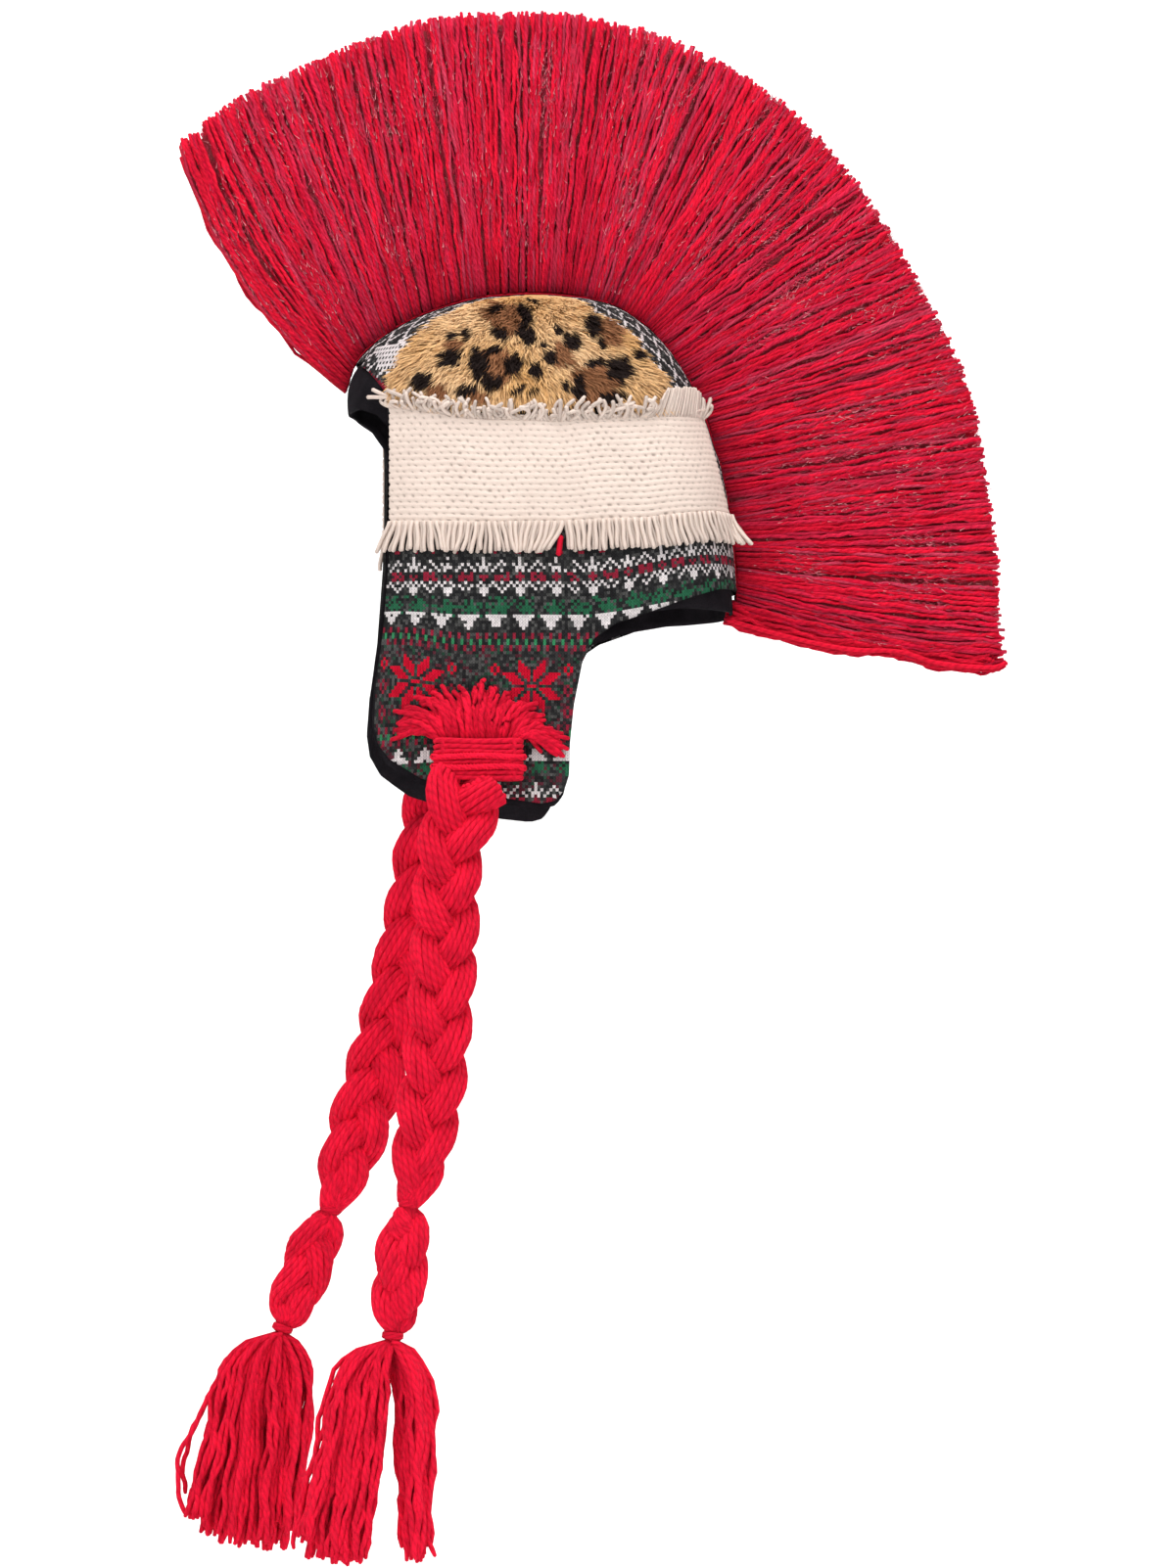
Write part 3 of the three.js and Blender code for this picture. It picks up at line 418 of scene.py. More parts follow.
# Materials
class Nodes:
    """Short names for making shader nodes."""

    def __init__(self, name, **sockets):
        self.material = bpy.data.materials.new(name)
        self.material.use_nodes = True
        self.tree = self.material.node_tree
        self.shader = self.tree.nodes["Principled BSDF"]
        for key, value in sockets.items():
            self.shader.inputs[key.replace("_", " ")].default_value = value

    def node(self, kind, inputs=(), **settings):
        """A shader node. Its inputs are numbers, colours or other nodes' outputs."""
        made = self.tree.nodes.new("ShaderNode" + kind)
        for key, value in settings.items():
            setattr(made, key, value)
        for socket, value in dict(inputs).items():
            if isinstance(value, bpy.types.NodeSocket):
                self.tree.links.new(value, made.inputs[socket])
            else:
                made.inputs[socket].default_value = value
        return made

    def math(self, operation, a, b=0.5, clamp=False):
        return self.node("Math", {0: a, 1: b}, operation=operation, use_clamp=clamp).outputs[0]

    def coordinates(self, which):
        return self.node("TexCoord").outputs[which]

    def stitch_axes(self):
        return self.node("SeparateXYZ", {0: self.coordinates("UV")}).outputs[:2]

    def noise(self, scale, detail, rough):
        return self.node("TexNoise", {"Vector": self.coordinates("Object"), "Scale": scale, "Detail": detail,
                                      "Roughness": rough}).outputs["Fac"]

    def span(self, value, low, high, to_low=0.0, to_high=1.0):
        return self.node("MapRange", {"Value": value, "From Min": low, "From Max": high, "To Min": to_low,
                                      "To Max": to_high}).outputs[0]

    def product(self, *spans):
        """Values brought into a range each and multiplied: value, from low, from high, to low, to high."""
        total = self.span(*spans[0])
        for row in spans[1:]:
            total = self.math("MULTIPLY", total, self.span(*row))
        return total

    def tint(self):
        return self.node("VertexColor", layer_name="Tint").outputs["Color"]

    def scaled(self, colour, factor):
        return self.node("VectorMath", {0: colour, "Scale": factor}, operation="SCALE").outputs[0]

    def blended(self, a, b, factor, kind="MIX"):
        a, b = [(*value, 1) if isinstance(value, tuple) else value for value in (a, b)]
        return self.node("Mix", {0: factor, 6: a, 7: b}, data_type="RGBA", blend_type=kind).outputs[2]

    def bump(self, height, distance, strength=1.0):
        made = self.node("Bump", {"Height": height, "Distance": distance, "Strength": strength})
        self.tree.links.new(made.outputs[0], self.shader.inputs["Normal"])

    def colour(self, source):
        self.tree.links.new(source, self.shader.inputs["Base Color"])
        return self.material


def yarn_material(name, colour, ply, sheen):
    """Plied yarn: the plies turn round it, with fine fibres over them."""
    m = Nodes(name, Roughness=0.9, Specular_IOR_Level=0.08, Sheen_Weight=sheen, Sheen_Roughness=0.5,
              Sheen_Tint=(1.0, 0.12, 0.16, 1))
    u, v = m.stitch_axes()
    turn = m.math("ADD", m.math("MULTIPLY", u, 2 * TAU), m.math("MULTIPLY", v, TAU / ply))
    wave = m.math("ABSOLUTE", m.math("SINE", m.math("MULTIPLY", turn, 0.5)))
    fibre = m.noise(2600, 3, 0.6)
    patch = m.noise(90, 2, 0.5)
    height = m.math("ADD", wave, m.math("MULTIPLY", fibre, 0.7))
    # The wave term darkens the colour in the grooves between the plies: painted shade. The fibre and patch
    # terms are random tone.
    shade = m.product((wave, 0, 1, 0.8, 1.06), (fibre, 0.3, 0.7, 0.84, 1.15), (patch, 0.3, 0.7, 0.9, 1.1))
    m.bump(height, 0.0006, 0.6)
    base = m.blended(colour, m.tint(), 1.0, "MULTIPLY")
    return m.colour(m.scaled(base, shade))


def knit_material():
    """Stocking stitch: each stitch is a V, coloured by its own yarn."""
    m = Nodes("stranded_knit", Roughness=0.95, Specular_IOR_Level=0.06)
    u, v = m.stitch_axes()
    side = m.math("MULTIPLY", m.math("ABSOLUTE", m.math("SUBTRACT", u, 0.5)), 2)
    leg = m.math("ADD", m.math("MULTIPLY", v, 0.55), 0.18)
    off = m.math("DIVIDE", m.math("ABSOLUTE", m.math("SUBTRACT", side, leg)), 0.5)
    round_leg = m.math("SUBTRACT", 1.0, m.math("MULTIPLY", off, off), clamp=True)
    fibre = m.noise(3200, 3, 0.65)
    cloud = m.noise(130, 3, 0.6)
    height = m.math("ADD", round_leg, m.math("MULTIPLY", fibre, 0.5))
    m.bump(height, 0.0005, 0.9)
    # The round_leg term darkens the colour between the legs of each stitch: painted shade. The fibre and cloud
    # terms are random tone.
    shade = m.product((round_leg, 0, 1, 0.62, 1.08), (fibre, 0.3, 0.7, 0.75, 1.25),
                      (cloud, 0.3, 0.7, 0.85, 1.15))
    return m.colour(m.scaled(m.tint(), shade))


def fleece_material():
    m = Nodes("black_fleece", Roughness=0.98, Specular_IOR_Level=0.02)
    fibre = m.noise(1800, 4, 0.7)
    cloud = m.noise(45, 3, 0.6)
    m.bump(m.math("ADD", m.math("MULTIPLY", fibre, 0.6), cloud), 0.0006, 0.7)
    shade = m.product((fibre, 0.3, 0.7, 0.6, 1.4), (cloud, 0.3, 0.7, 0.7, 1.3))
    return m.colour(m.scaled(m.blended((0.009, 0.008, 0.010), (0.014, 0.012, 0.014), cloud), shade))


def fur_material():
    m = Nodes("spotted_fur", Roughness=0.75, Specular_IOR_Level=0.1)
    streak = m.noise(700, 3, 0.6)
    return m.colour(m.scaled(m.tint(), m.span(streak, 0.3, 0.7, 0.85, 1.15)))


def cotton_material():
    m = Nodes("cream_cotton", Roughness=0.92, Specular_IOR_Level=0.1)
    fibre = m.noise(2400, 3, 0.6)
    cloud = m.noise(60, 2, 0.5)
    m.bump(fibre, 0.0004, 0.6)
    shade = m.product((fibre, 0.3, 0.7, 0.93, 1.05), (cloud, 0.3, 0.7, 0.97, 1.03))
    return m.colour(m.scaled(m.tint(), shade))


def web_material():
    """Teased, faded wool behind the crest's yarns, with pale specks."""
    m = Nodes("teased_wool", Roughness=0.95, Specular_IOR_Level=0.05)
    fibre = m.noise(1500, 4, 0.75)
    cloud = m.noise(170, 3, 0.6)
    speck = m.noise(520, 2, 0.5)
    m.bump(fibre, 0.001, 1.0)
    base = m.blended(m.tint(), (0.40, 0.06, 0.075), m.span(cloud, 0.4, 0.62))
    base = m.blended(base, (0.62, 0.33, 0.27), m.span(speck, 0.66, 0.72))
    return m.colour(m.scaled(base, m.span(fibre, 0.3, 0.7, 0.55, 1.35)))


RED = (0.68, 0.006, 0.031)
yarn_red = yarn_material("red_yarn", RED, 5.5, 0.13)
yarn_crest = yarn_material("crest_yarn", (0.64, 0.006, 0.028), 4.5, 0.08)
knit_cloth = knit_material()
fleece = fleece_material()
fur_hair = fur_material()
cotton = cotton_material()
teased = web_material()
CREAM = np.array([0.66, 0.545, 0.477])

# Camera, as the photograph is taken: level with the flaps, from the wearer's left and a little in front
CAMERA_AT = Vector((4.4877, -0.2201, -0.5012))
LOOK_AT = Vector((0, 0.01512, -0.26568))
camera_data = bpy.data.cameras.new("camera")
camera_data.lens = 187.3
camera_data.sensor_width = 36
camera_data.clip_start, camera_data.clip_end = 0.1, 60
camera = bpy.data.objects.new("camera", camera_data)
camera.location = CAMERA_AT
camera.rotation_mode = "QUATERNION"
camera.rotation_quaternion = (LOOK_AT - CAMERA_AT).to_track_quat("-Z", "Y")
SCENE.collection.objects.link(camera)
SCENE.camera = camera


# Ties
OUT = np.array([1.0, 0, 0])


def line_points(rows, count):
    """Points evenly spaced along a smooth line through the rows."""
    rows = np.asarray(rows, float)
    at = np.linspace(0, len(rows) - 1, 600)
    dense = np.stack([between(rows[:, k], at) for k in range(3)], -1)
    travel = travelled(dense)
    spots = np.linspace(0, travel[-1], count)
    return np.stack([np.interp(spots, travel, dense[:, k]) for k in range(3)], -1), travel[-1]


def waves(rng, n, r, amount, lengths, travel):
    """Soft random waviness along n yarns, one column of numbers for each of three directions."""
    total = np.zeros((n, r, 3))
    for length in lengths:
        phase = rng.uniform(0, TAU, (n, 1, 3))
        size = rng.uniform(0.4, 1.0, (n, 1, 3)) * amount * length / max(lengths)
        long = length * rng.uniform(0.8, 1.25, (n, 1, 1))
        total += size * np.sin(TAU * np.asarray(travel).reshape(1, -1, 1) / long + phase)
    return total


def around(middle, first, second, radius, turn):
    """Points round middle points, in the plane of two directions."""
    return middle + first * (radius * np.cos(turn))[..., None] + second * (radius * np.sin(turn))[..., None]


def strands(rng, sign, spine, turns, start, spread, depth, fat, count, groups, keep=slice(None),
            wring=(0.8, 0.8, 0.8)):
    """Three strands of yarns braided along a spine, strand k going to groups[k]."""
    rings = len(spine)
    t = np.linspace(0, 1, rings)
    long = np.linalg.norm(np.diff(spine, axis=0), axis=1).sum()
    across = unit(np.cross(OUT, unit(np.gradient(spine, axis=0))))
    for k, group in enumerate(groups):
        phase = start + turns * TAU * t + k * TAU / 3
        centre = spine + across * (spread * np.sin(phase))[:, None]
        centre = centre - sign * OUT * (depth * np.sin(2 * phase))[:, None]
        run = unit(np.gradient(centre, axis=0))
        wide = unit(across - (across * run).sum(-1, keepdims=True) * run)
        deep = np.cross(run, wide)
        turn = rng.uniform(0, TAU) + np.arange(count)[:, None] / count * TAU
        turn = turn + 0.5 * np.sin(t * 9 + k)[None] + wring[k] * t[None]
        lift = (fat - YARN)[None] * rng.uniform(0.95, 1.04, (count, 1))
        yarns = centre[None] + wide[None] * (lift * np.cos(turn))[..., None]
        yarns = yarns + deep[None] * (0.86 * lift * np.sin(turn))[..., None]
        yarns = yarns + waves(rng, count, rings, 0.4, (26, 11), t * long)
        shade = rng.uniform(0.86, 1.1, (count, 1)) * np.ones((1, rings))
        group.add(yarns[:, keep], YARN * 1.12, shade[:, keep])
        # A core yarn at half tint inside each strand, dark where it shows between the yarns: painted shade.
        group.add(centre[keep], (fat * 0.74)[keep], 0.5)


def red_piece(yarns, made, replaced, side):
    piece = yarns.made(f"{made}_{side}", yarn_red, "yarn")
    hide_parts(f"{replaced}_{side}")
    return piece


def winding(name, top, end, down, flank, side):
    """Yarn wound tight round one end of the bobble, over the gathered yarns."""
    yarns = Yarns()
    t = np.linspace(0, 1, 64)
    middle = end[None] + down * (top + 1.1 + t * (TIE_RISE - 2.2))[:, None]
    yarns.add(around(middle, flank, OUT, TIE_RADIUS, t * TIE_LAPS * TAU), 1.15, 0.85, aside=down)
    turn = np.arange(YARNS["gather"])[:, None] / YARNS["gather"] * TAU
    t = np.linspace(0, TIE_RISE, 5)
    middle = (end + down * top)[None, None] + down * t[None, :, None] + 0 * turn[..., None]
    # The gathered yarns under the wound yarn are tinted darker, 0.75: painted shade under the tie.
    yarns.add(around(middle, flank, OUT, 3.2, turn), YARN, 0.75, aside=flank)
    return red_piece(yarns, f"{name}_tie_yarns", f"{name}_tie", side)


def tassel(side, head, rng):
    """Yarns from the lower tie down to each lock's cut end, and the loose ones beside them."""
    yarns = Yarns()
    rings, count = 21, YARNS["tassel"]
    t = np.linspace(0, 1, rings)
    shape = lambda rows: np.interp(t, TASSEL_AT, rows)[None]
    for wide_to, drop, deep_to, width, bulge in TASSEL[side]:
        angle = rng.uniform(0, TAU, (count, 1))
        far = np.sqrt(rng.uniform(0.04, 1.12, (count, 1)))
        fat = shape(TASSEL_FAT) * width * np.clip(t * 18 + 0.35, 0, 1)[None]
        y = wide_to * shape(TASSEL_SPREAD) + bulge * shape(TASSEL_BULGE) + fat * far * np.cos(angle)
        x = deep_to * shape(TASSEL_SPREAD) + fat * 1.05 * far * np.sin(angle)
        z = -drop * rng.uniform(0.955, 1.015, (count, 1)) * t[None]
        lines = head + np.stack(np.broadcast_arrays(x, y, z), -1)
        fade = np.clip(t * 5, 0, 1)[None, :, None]
        lines = lines + waves(rng, count, rings, 1.35, (40, 17, 8), t * drop) * fade * np.array([1, 1, 0.25])
        # Yarns are darker near the lower tie, 0.8 at the top rising to 1 further down: painted shade under the
        # tie. The per-yarn factor is random tone.
        shade = rng.uniform(0.9, 1.08, (count, 1)) * np.interp(t, [0, 0.12, 1], [0.8, 0.98, 1])[None]
        yarns.add(lines, YARN * np.interp(t, [0, 0.3, 0.96, 1], [0.92, 1.04, 1.06, 0.75]), shade)
    for k, points in enumerate(LOOSE[side]):
        at = np.linspace(0, len(points) - 1, 34)
        y, drop = [between([p[i] for p in points], at) for i in range(2)]
        line = head + np.stack([4 - 5 * k + 0 * at, y, -drop], -1)
        line = line[None] + waves(rng, 1, 34, 0.7, (21, 9), drop)
        yarns.add(line, YARN * np.interp(at / at[-1], [0, 0.96, 1], [1, 1, 0.7]), 0.97)
    return red_piece(yarns, "tassel_yarns", "tassel", side)


def tuft(side, sign, band, rng):
    """The yarns' upper ends, fanned out over the flap."""
    yarns = Yarns()
    rings, count = 12, YARNS["tuft"]
    t = np.linspace(0, 1, rings)[None]
    pick = (np.arange(count) + rng.uniform(0, 1, count)) / count * (len(TUFT_ENDS) - 1)
    wide_to, rise = [between([e[k] for e in TUFT_ENDS], pick)[:, None] for k in range(2)]
    layer = rng.uniform(0, 1, (count, 1))
    short = 1 - 0.35 * layer * rng.uniform(0, 1, (count, 1))
    start = np.clip(wide_to * 0.5, -21, 21)
    wide_to = start + (wide_to - start) * short + rng.normal(0, 2.6, (count, 1))
    rise = rise * short + rng.normal(-1, 2.2, (count, 1))
    knee_y = mix(start, wide_to, 0.3)
    knee_z = np.maximum(rise * 0.85, 5) + 3
    y = (1 - t) ** 2 * start + 2 * t * (1 - t) * knee_y + t ** 2 * wide_to
    z = -1.5 * (1 - t) ** 2 + 2 * t * (1 - t) * knee_z + t ** 2 * rise
    lift = (1.6 + 4.6 * layer) * np.sin(np.clip(0.25 + t * 0.9, 0, 1) * math.pi) ** 0.8
    lines = band + np.stack(np.broadcast_arrays(0 * t, y, z), -1)
    lines = lines + waves(rng, count, rings, 0.9, (24, 10), t[0] * 36) * np.clip(t * 3, 0, 1)[..., None]
    level = level_at(lines[..., 2])
    skin = level_point(level, angle_at(lines[..., 1], level))[..., 0]
    lines[..., 0] = sign * (skin + 2.2 + lift)
    # Yarns lying lower on the flap are tinted darker, 0.62 up to 1.02 with the layer: painted shade under the
    # yarns above them. The per-yarn factor is random tone.
    tint = rng.uniform(0.8, 1.1, (count, 1)) * (0.62 + 0.4 * layer)
    yarns.add(lines, YARN * np.interp(t[0], [0, 0.93, 1], [0.95, 0.98, 0.75]), tint, aside=(0, 0.2, 1))
    red_piece(yarns, "tuft_yarns", "tie_tuft", side)


def wound_band(side, band):
    """Yarn laid round the plait's top, with two twisted rows standing out."""
    yarns = Yarns()
    turn = np.linspace(0, TAU, 241)
    for i, z_row in enumerate(np.linspace(band[2] - 1.4, BAND_BOTTOM + 1.4, 8)):
        ridge = i in (3, 5)
        twist = 42 * turn if ridge else 0 * turn
        for part in range(2 if ridge else 1):
            swing = 0.95 if ridge else 0
            deep_by = 5.8 + (1.3 if ridge else 0) + swing * np.cos(twist + part * math.pi)
            wide_by = deep_by + 17.4
            rise = 0.35 * np.sin(3 * turn + i)
            path = np.stack([band[0] + deep_by * np.sin(turn), band[1] + wide_by * np.cos(turn),
                             z_row + rise + swing * np.sin(twist + part * math.pi)], -1)
            # Ridge rows that stand out get tint 1.08 and the flat rows 0.86: painted light on the ridges and
            # painted shade between them.
            radius, tint, step = (YARN * 0.72, 1.08, 1) if ridge else (YARN * 1.05, 0.86, 6)
            yarns.add(path[::step], radius, tint, aside=(0, 0, 1))
    y_in = np.linspace(-19, 19, YARNS["filler"])[:, None]
    z_in = np.linspace(band[2] - 0.6, BAND_BOTTOM + 0.6, 6)[None]
    # The filler yarns under the wound rows are tinted 0.8: painted shade.
    for deep in (-3.2, 3.2):
        filler = np.stack(np.broadcast_arrays(band[0] + deep + 0 * z_in, band[1] + y_in, z_in), -1)
        yarns.add(filler, YARN * 1.1, 0.8)
    red_piece(yarns, "band_yarns", "tie_band", side)


def tie(side, seed):
    rng = np.random.default_rng(seed)
    sign = 1 if side == "left" else -1
    down = unit(np.array([0, TIE_TURN[side], -1.0]))
    end = np.array(PLAIT_LINE[side][-1], float)
    flank = unit(np.cross(OUT, down))
    place = lambda travel: end + down * travel

    # Plait: three strands of yarns, and the few that run on inside the bobble
    rings = 70
    spine, _ = line_points(PLAIT_LINE[side], rings)
    use = spine[:, 2] < PLAIT_TOP
    spread, depth, radius = [np.interp(np.linspace(0, 1, rings), PLAIT_AT, rows)
                             for rows in (PLAIT_SPREAD, PLAIT_DEPTH, PLAIT_RADIUS)]
    plait, bobble = Yarns(), Yarns()
    strands(rng, sign, spine, PLAIT_TURNS, -0.53, spread, depth, radius, YARNS["plait"], [plait] * 3, use)
    inner = np.linspace(-6, LOWER_TOP + 0.5, 22)
    turn = np.arange(YARNS["core"])[:, None] / YARNS["core"] * TAU + inner[None] * 0.03
    wide_in = 3.6 + 1.8 * np.sin(np.clip((inner - BOBBLE_TOP) / BOBBLE_LENGTH, 0, 1) * math.pi)
    # These inner yarns are tinted darker, 0.7: painted shade inside the plait and bobble.
    plait.add(around(end[None, None] + down * inner[None, :, None], OUT, flank, wide_in, turn), YARN, 0.7)

    # Bobble: the plait goes on between the two ties
    t = np.linspace(0, 1, 30)
    line = place(BOBBLE_TOP)[None] + down * (t * BOBBLE_LENGTH)[:, None]
    swell = np.interp(t, [0, 0.06, 0.14, 0.3, 0.7, 0.88, 0.95, 1], [0.3, 0.62, 0.84, 1, 1, 0.82, 0.6, 0.3])
    strands(rng, sign, line, 0.8, 0.9, 6.6 * swell, 4.0 * swell, 8.4 * swell, YARNS["bobble"],
            [plait, bobble, bobble], wring=(0, 6.5, -6.5))
    plait_piece = red_piece(plait, "plait_yarns", "plait", side)
    bobble_piece = red_piece(bobble, "bobble_yarns", "bobble", side)
    ties = [winding(name, top, end, down, flank, side)
            for name, top in (("upper", UPPER_TOP), ("lower", LOWER_TOP))]
    tassel_piece = tassel(side, place(TASSEL_TOP), rng)
    band = np.array(BAND_TOP[side], float)
    tuft(side, sign, band, rng)
    wound_band(side, band)


tie("left", SEED["tie"])
tie("right", SEED["tie"] + 1)


# Knit
STITCH_UV = np.array([(0, 1), (0, 0), (1, 0), (1, 1)], float)
LETTERS = ".wrmgt"
GROUND, WHITE, MAROON, DARK_GREEN = [LETTERS.index(x) for x in ".wmg"]
SHADES = {
    ".": (0.026, 0.025, 0.025), "w": (0.66, 0.61, 0.61), "r": (0.52, 0.005, 0.024),
    "m": (0.26, 0.016, 0.036), "g": (0.020, 0.11, 0.055), "t": (0.034, 0.22, 0.09),
}
# Charcoal ground: three greys, and the maroon and green fibres in it
HEATHER = np.array([
    (0.018, 0.018, 0.019), (0.032, 0.032, 0.032), (0.072, 0.071, 0.069),
    (0.09, 0.020, 0.030), (0.022, 0.06, 0.038),
])


def flake_row(off):
    """Chart row this far from a flake's middle, with the small diamonds that stand between the flakes."""
    main = FLAKE[8 - abs(off)] if abs(off) <= 8 else "." * 19
    small = "..."
    for first in (-7, 0, 7):
        if first <= off < first + 4:
            small = SMALL[off - first]
            small = small if first < 0 else small.replace("r", "m")
    return main + "." + small + "." * 11 + small + "."


def chart_rows():
    """Chart of the flap's rows from the lattice down: a list of (row text, columns that it shifts)."""
    gap = [(".", 0)]
    shifted = lambda chart, shift=0: [(row, shift) for row in chart]
    dots = shifted(RED_DOTS + GREEN_DOTS) + shifted(RED_DOTS, 1)
    rows = shifted(LATTICE) + gap + shifted(GREEN + TRIANGLE) + gap + dots + gap * 3
    rows += shifted([flake_row(off) for off in range(-8, 11)], 14) + gap * 2 + dots + gap
    return rows + shifted(TRIANGLE[::-1] + GREEN[::-1], 4) + gap * 2 + shifted(LATTICE * 2, 6)


# How far below the crown's top the chart starts, and the middle of the flap's first flake
CHART_DROP, FLAKE_Y = 147.1, -64.9
# The diamond knit reaches down to this height, and further down behind this place at the nape
DIAMOND_END, DIAMOND_NAPE = -66, 68
# Checkered patch at the front corner: middle and half sizes
PATCH_Y, PATCH_Z, PATCH_WIDE, PATCH_HIGH = -96.5, -34, 6.3, 7.2
# Loose lines of colour at the front corner: y, z to y, z, half width, letter
CORNER_LINES = [
    (-110, -40, -97, -54, 1.1, "m"), (-88, -34, -80, -28, 1.1, "m"), (-90, -25.5, -82, -31, 0.9, "w"),
    (-115, -41, -99.5, -58, 0.9, "w"),
]


def dotted_diamonds(k, m):
    """White dotted diamonds of the knit round the crest."""
    line = ((m + k) % 11 < 2) | ((m - k) % 11 < 2)
    return line & ((k + m // 2) % 3 != 0)


def stitch_colours(k, m, rng, y, z, argyle):
    """Colour of the stitches in chart row k and column m."""
    rows = chart_rows()
    letters = np.full(k.shape, ".")
    heather = np.clip((k - 24) / 8, 0, 1)
    for i, (row, shift) in enumerate(rows):
        here = k == i
        if here.any():
            text = np.array(list(row))
            letters[here] = text[(m[here] + shift) % len(text)]
    letters[(k == -2) & (m % 7 < 2)] = "m"
    index = np.array([LETTERS.index(x) for x in letters.ravel()]).reshape(letters.shape)
    # Stitches where another yarn shows, as the photo's speckled rows have them
    chance = rng.uniform(0, 1, k.shape)
    index[(index == DARK_GREEN) & (chance < 0.2)] = GROUND
    index[(index == MAROON) & (k < 13) & (chance < 0.25)] = GROUND
    index[(index == GROUND) & (k > 12) & (k < 20) & (chance < 0.16)] = DARK_GREEN
    index[(index == WHITE) & (chance < 0.07)] = GROUND
    index[argyle] = np.where(dotted_diamonds(k[argyle], m[argyle]), WHITE, GROUND)
    for y0, z0, y1, z1, wide, letter in CORNER_LINES:
        along = np.array([y1 - y0, z1 - z0])
        share = np.clip(((y - y0) * along[0] + (z - z0) * along[1]) / (along @ along), 0, 1)
        off = np.hypot(y - y0 - share * along[0], z - z0 - share * along[1])
        index[argyle & (off < wide)] = LETTERS.index(letter)
    patch = argyle & (np.abs(y - PATCH_Y) < PATCH_WIDE) & (np.abs(z - PATCH_Z) < PATCH_HIGH)
    index[patch] = np.where((k[patch] % 2 == 0) & (m[patch] % 2 == 0), GROUND, WHITE)
    colours = np.array([SHADES[x] for x in LETTERS])[index]
    ground = index == GROUND
    blend = rng.uniform(0, 1, k.shape)
    steps = [blend < 0.16 * heather, blend < 0.26 * heather, blend < 0.52, blend < 0.76]
    pick = np.select(steps, [3, 4, 0, 1], 2)
    colours[ground] = HEATHER[pick[ground]]
    colours *= rng.uniform(0.75, 1.2, k.shape)[..., None] ** np.where(ground, 1.0, 0.5)[..., None]
    return colours


def rise(y, z):
    """How far the rows climb towards the nape, and at the flap's front edge."""
    back = 12.5 * smooth((y - 4) / 88)
    low = np.interp(-z, [165, 190, 215, 240], [0.8, 4.4, 4.4, -1.5])
    front = low * smooth((-52 - y) / 45)
    return (back + front) * np.clip((-z - 66) / 40, 0, 1)


def knit_panel(side, seed):
    rng = np.random.default_rng(seed)
    fine = np.linspace(-math.pi / 2, math.pi / 2, 3001)
    arc = level_point(np.full(3001, float(level_at(-170))), fine)
    travel = travelled(arc)
    star = travel[np.argmin(np.abs(arc[:, 1] - FLAKE_Y))]
    first = star % STITCH - STITCH / 2
    count = int((travel[-1] - first) // STITCH)
    angles = np.interp(first + STITCH * np.arange(count + 1), travel, fine)
    star_column = int(round((star - first - STITCH / 2) / STITCH))
    top_arc = np.interp(CHART_DROP, -DENSE_Z, DENSE_ARC)
    first_row = -int(top_arc // STITCH)
    row_arc = top_arc + STITCH * np.arange(first_row, int((DENSE_ARC[-1] - top_arc) // STITCH))
    z_rows = np.interp(row_arc, DENSE_ARC, DENSE_Z)
    base = level_point(level_at(z_rows)[:, None], angles[None])
    z = np.minimum(base[..., 2] + rise(base[..., 1], base[..., 2]), 4.9)
    level = np.maximum(level_at(z), LEAST_LEVEL)
    points = level_point(level, angles[None])
    rows, columns = z.shape
    faces = grid_faces(rows, columns)
    middle = points.reshape(-1, 3)[faces].mean(1)
    keep = inside(above(KNIT_EDGE), middle[:, 1], middle[:, 2]) & (middle[:, 0] > STRIP_HALF + SEAM_GAP)
    r, c = np.divmod(np.arange(len(faces)), columns - 1)
    faces, r, c = faces[keep], r[keep], c[keep]
    level, angle = level.ravel().copy(), np.broadcast_to(angles, z.shape).ravel().copy()
    flat = points.reshape(-1, 3)
    a, b = rim_of(faces)
    edge = np.unique(np.concatenate([a, b]))
    on, off = nearest_on(KNIT_EDGE, flat[edge, 1], flat[edge, 2])
    near = off < 1.4 * STITCH
    moved = edge[near]
    level[moved] = level_at(on[near, 1])
    keeps = np.abs(angle[moved]) > 1.25
    angle[moved] = np.where(keeps, angle[moved], angle_at(on[near, 0], level[moved]))
    seam = edge[~near & (flat[edge, 0] < STRIP_HALF + 2.5)]
    for i in seam:
        tries = np.linspace(-0.06, 0.06, 61) + angle[i]
        x = level_point(np.full(61, level[i]), tries)[:, 0]
        best = np.argmin(np.abs(x - STRIP_HALF - SEAM_GAP))
        if abs(x[best] - STRIP_HALF - SEAM_GAP) < 0.6:
            angle[i] = tries[best]
    outer, inner = [crown_point(level, angle, out) for out in (0.0, -KNIT_WALL)]
    points, quads = shell(outer, inner, faces)
    k = r + first_row
    m = c - star_column + 5
    spot = flat[faces].mean(1)
    argyle = (spot[:, 2] > DIAMOND_END) | ((spot[:, 1] > DIAMOND_NAPE) & (k < -3))
    colours = stitch_colours(k, m, rng, spot[:, 1], spot[:, 2], argyle)
    wall_colours = np.array(SHADES["."]) * rng.uniform(0.7, 1.2, (len(quads) - len(faces), 1))
    tint = np.repeat(np.concatenate([colours, wall_colours]), 4, axis=0)
    uv = np.tile(STITCH_UV, (len(quads), 1))
    piece = mesh_object(f"knit_panel_{side}", points, [quads], knit_cloth,
                        uv=[uv], tint=tint, mirror=side == "right")
    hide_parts(f"side_panel_{side}")


knit_panel("left", SEED["knit_panel"])
knit_panel("right", SEED["knit_panel"] + 1)


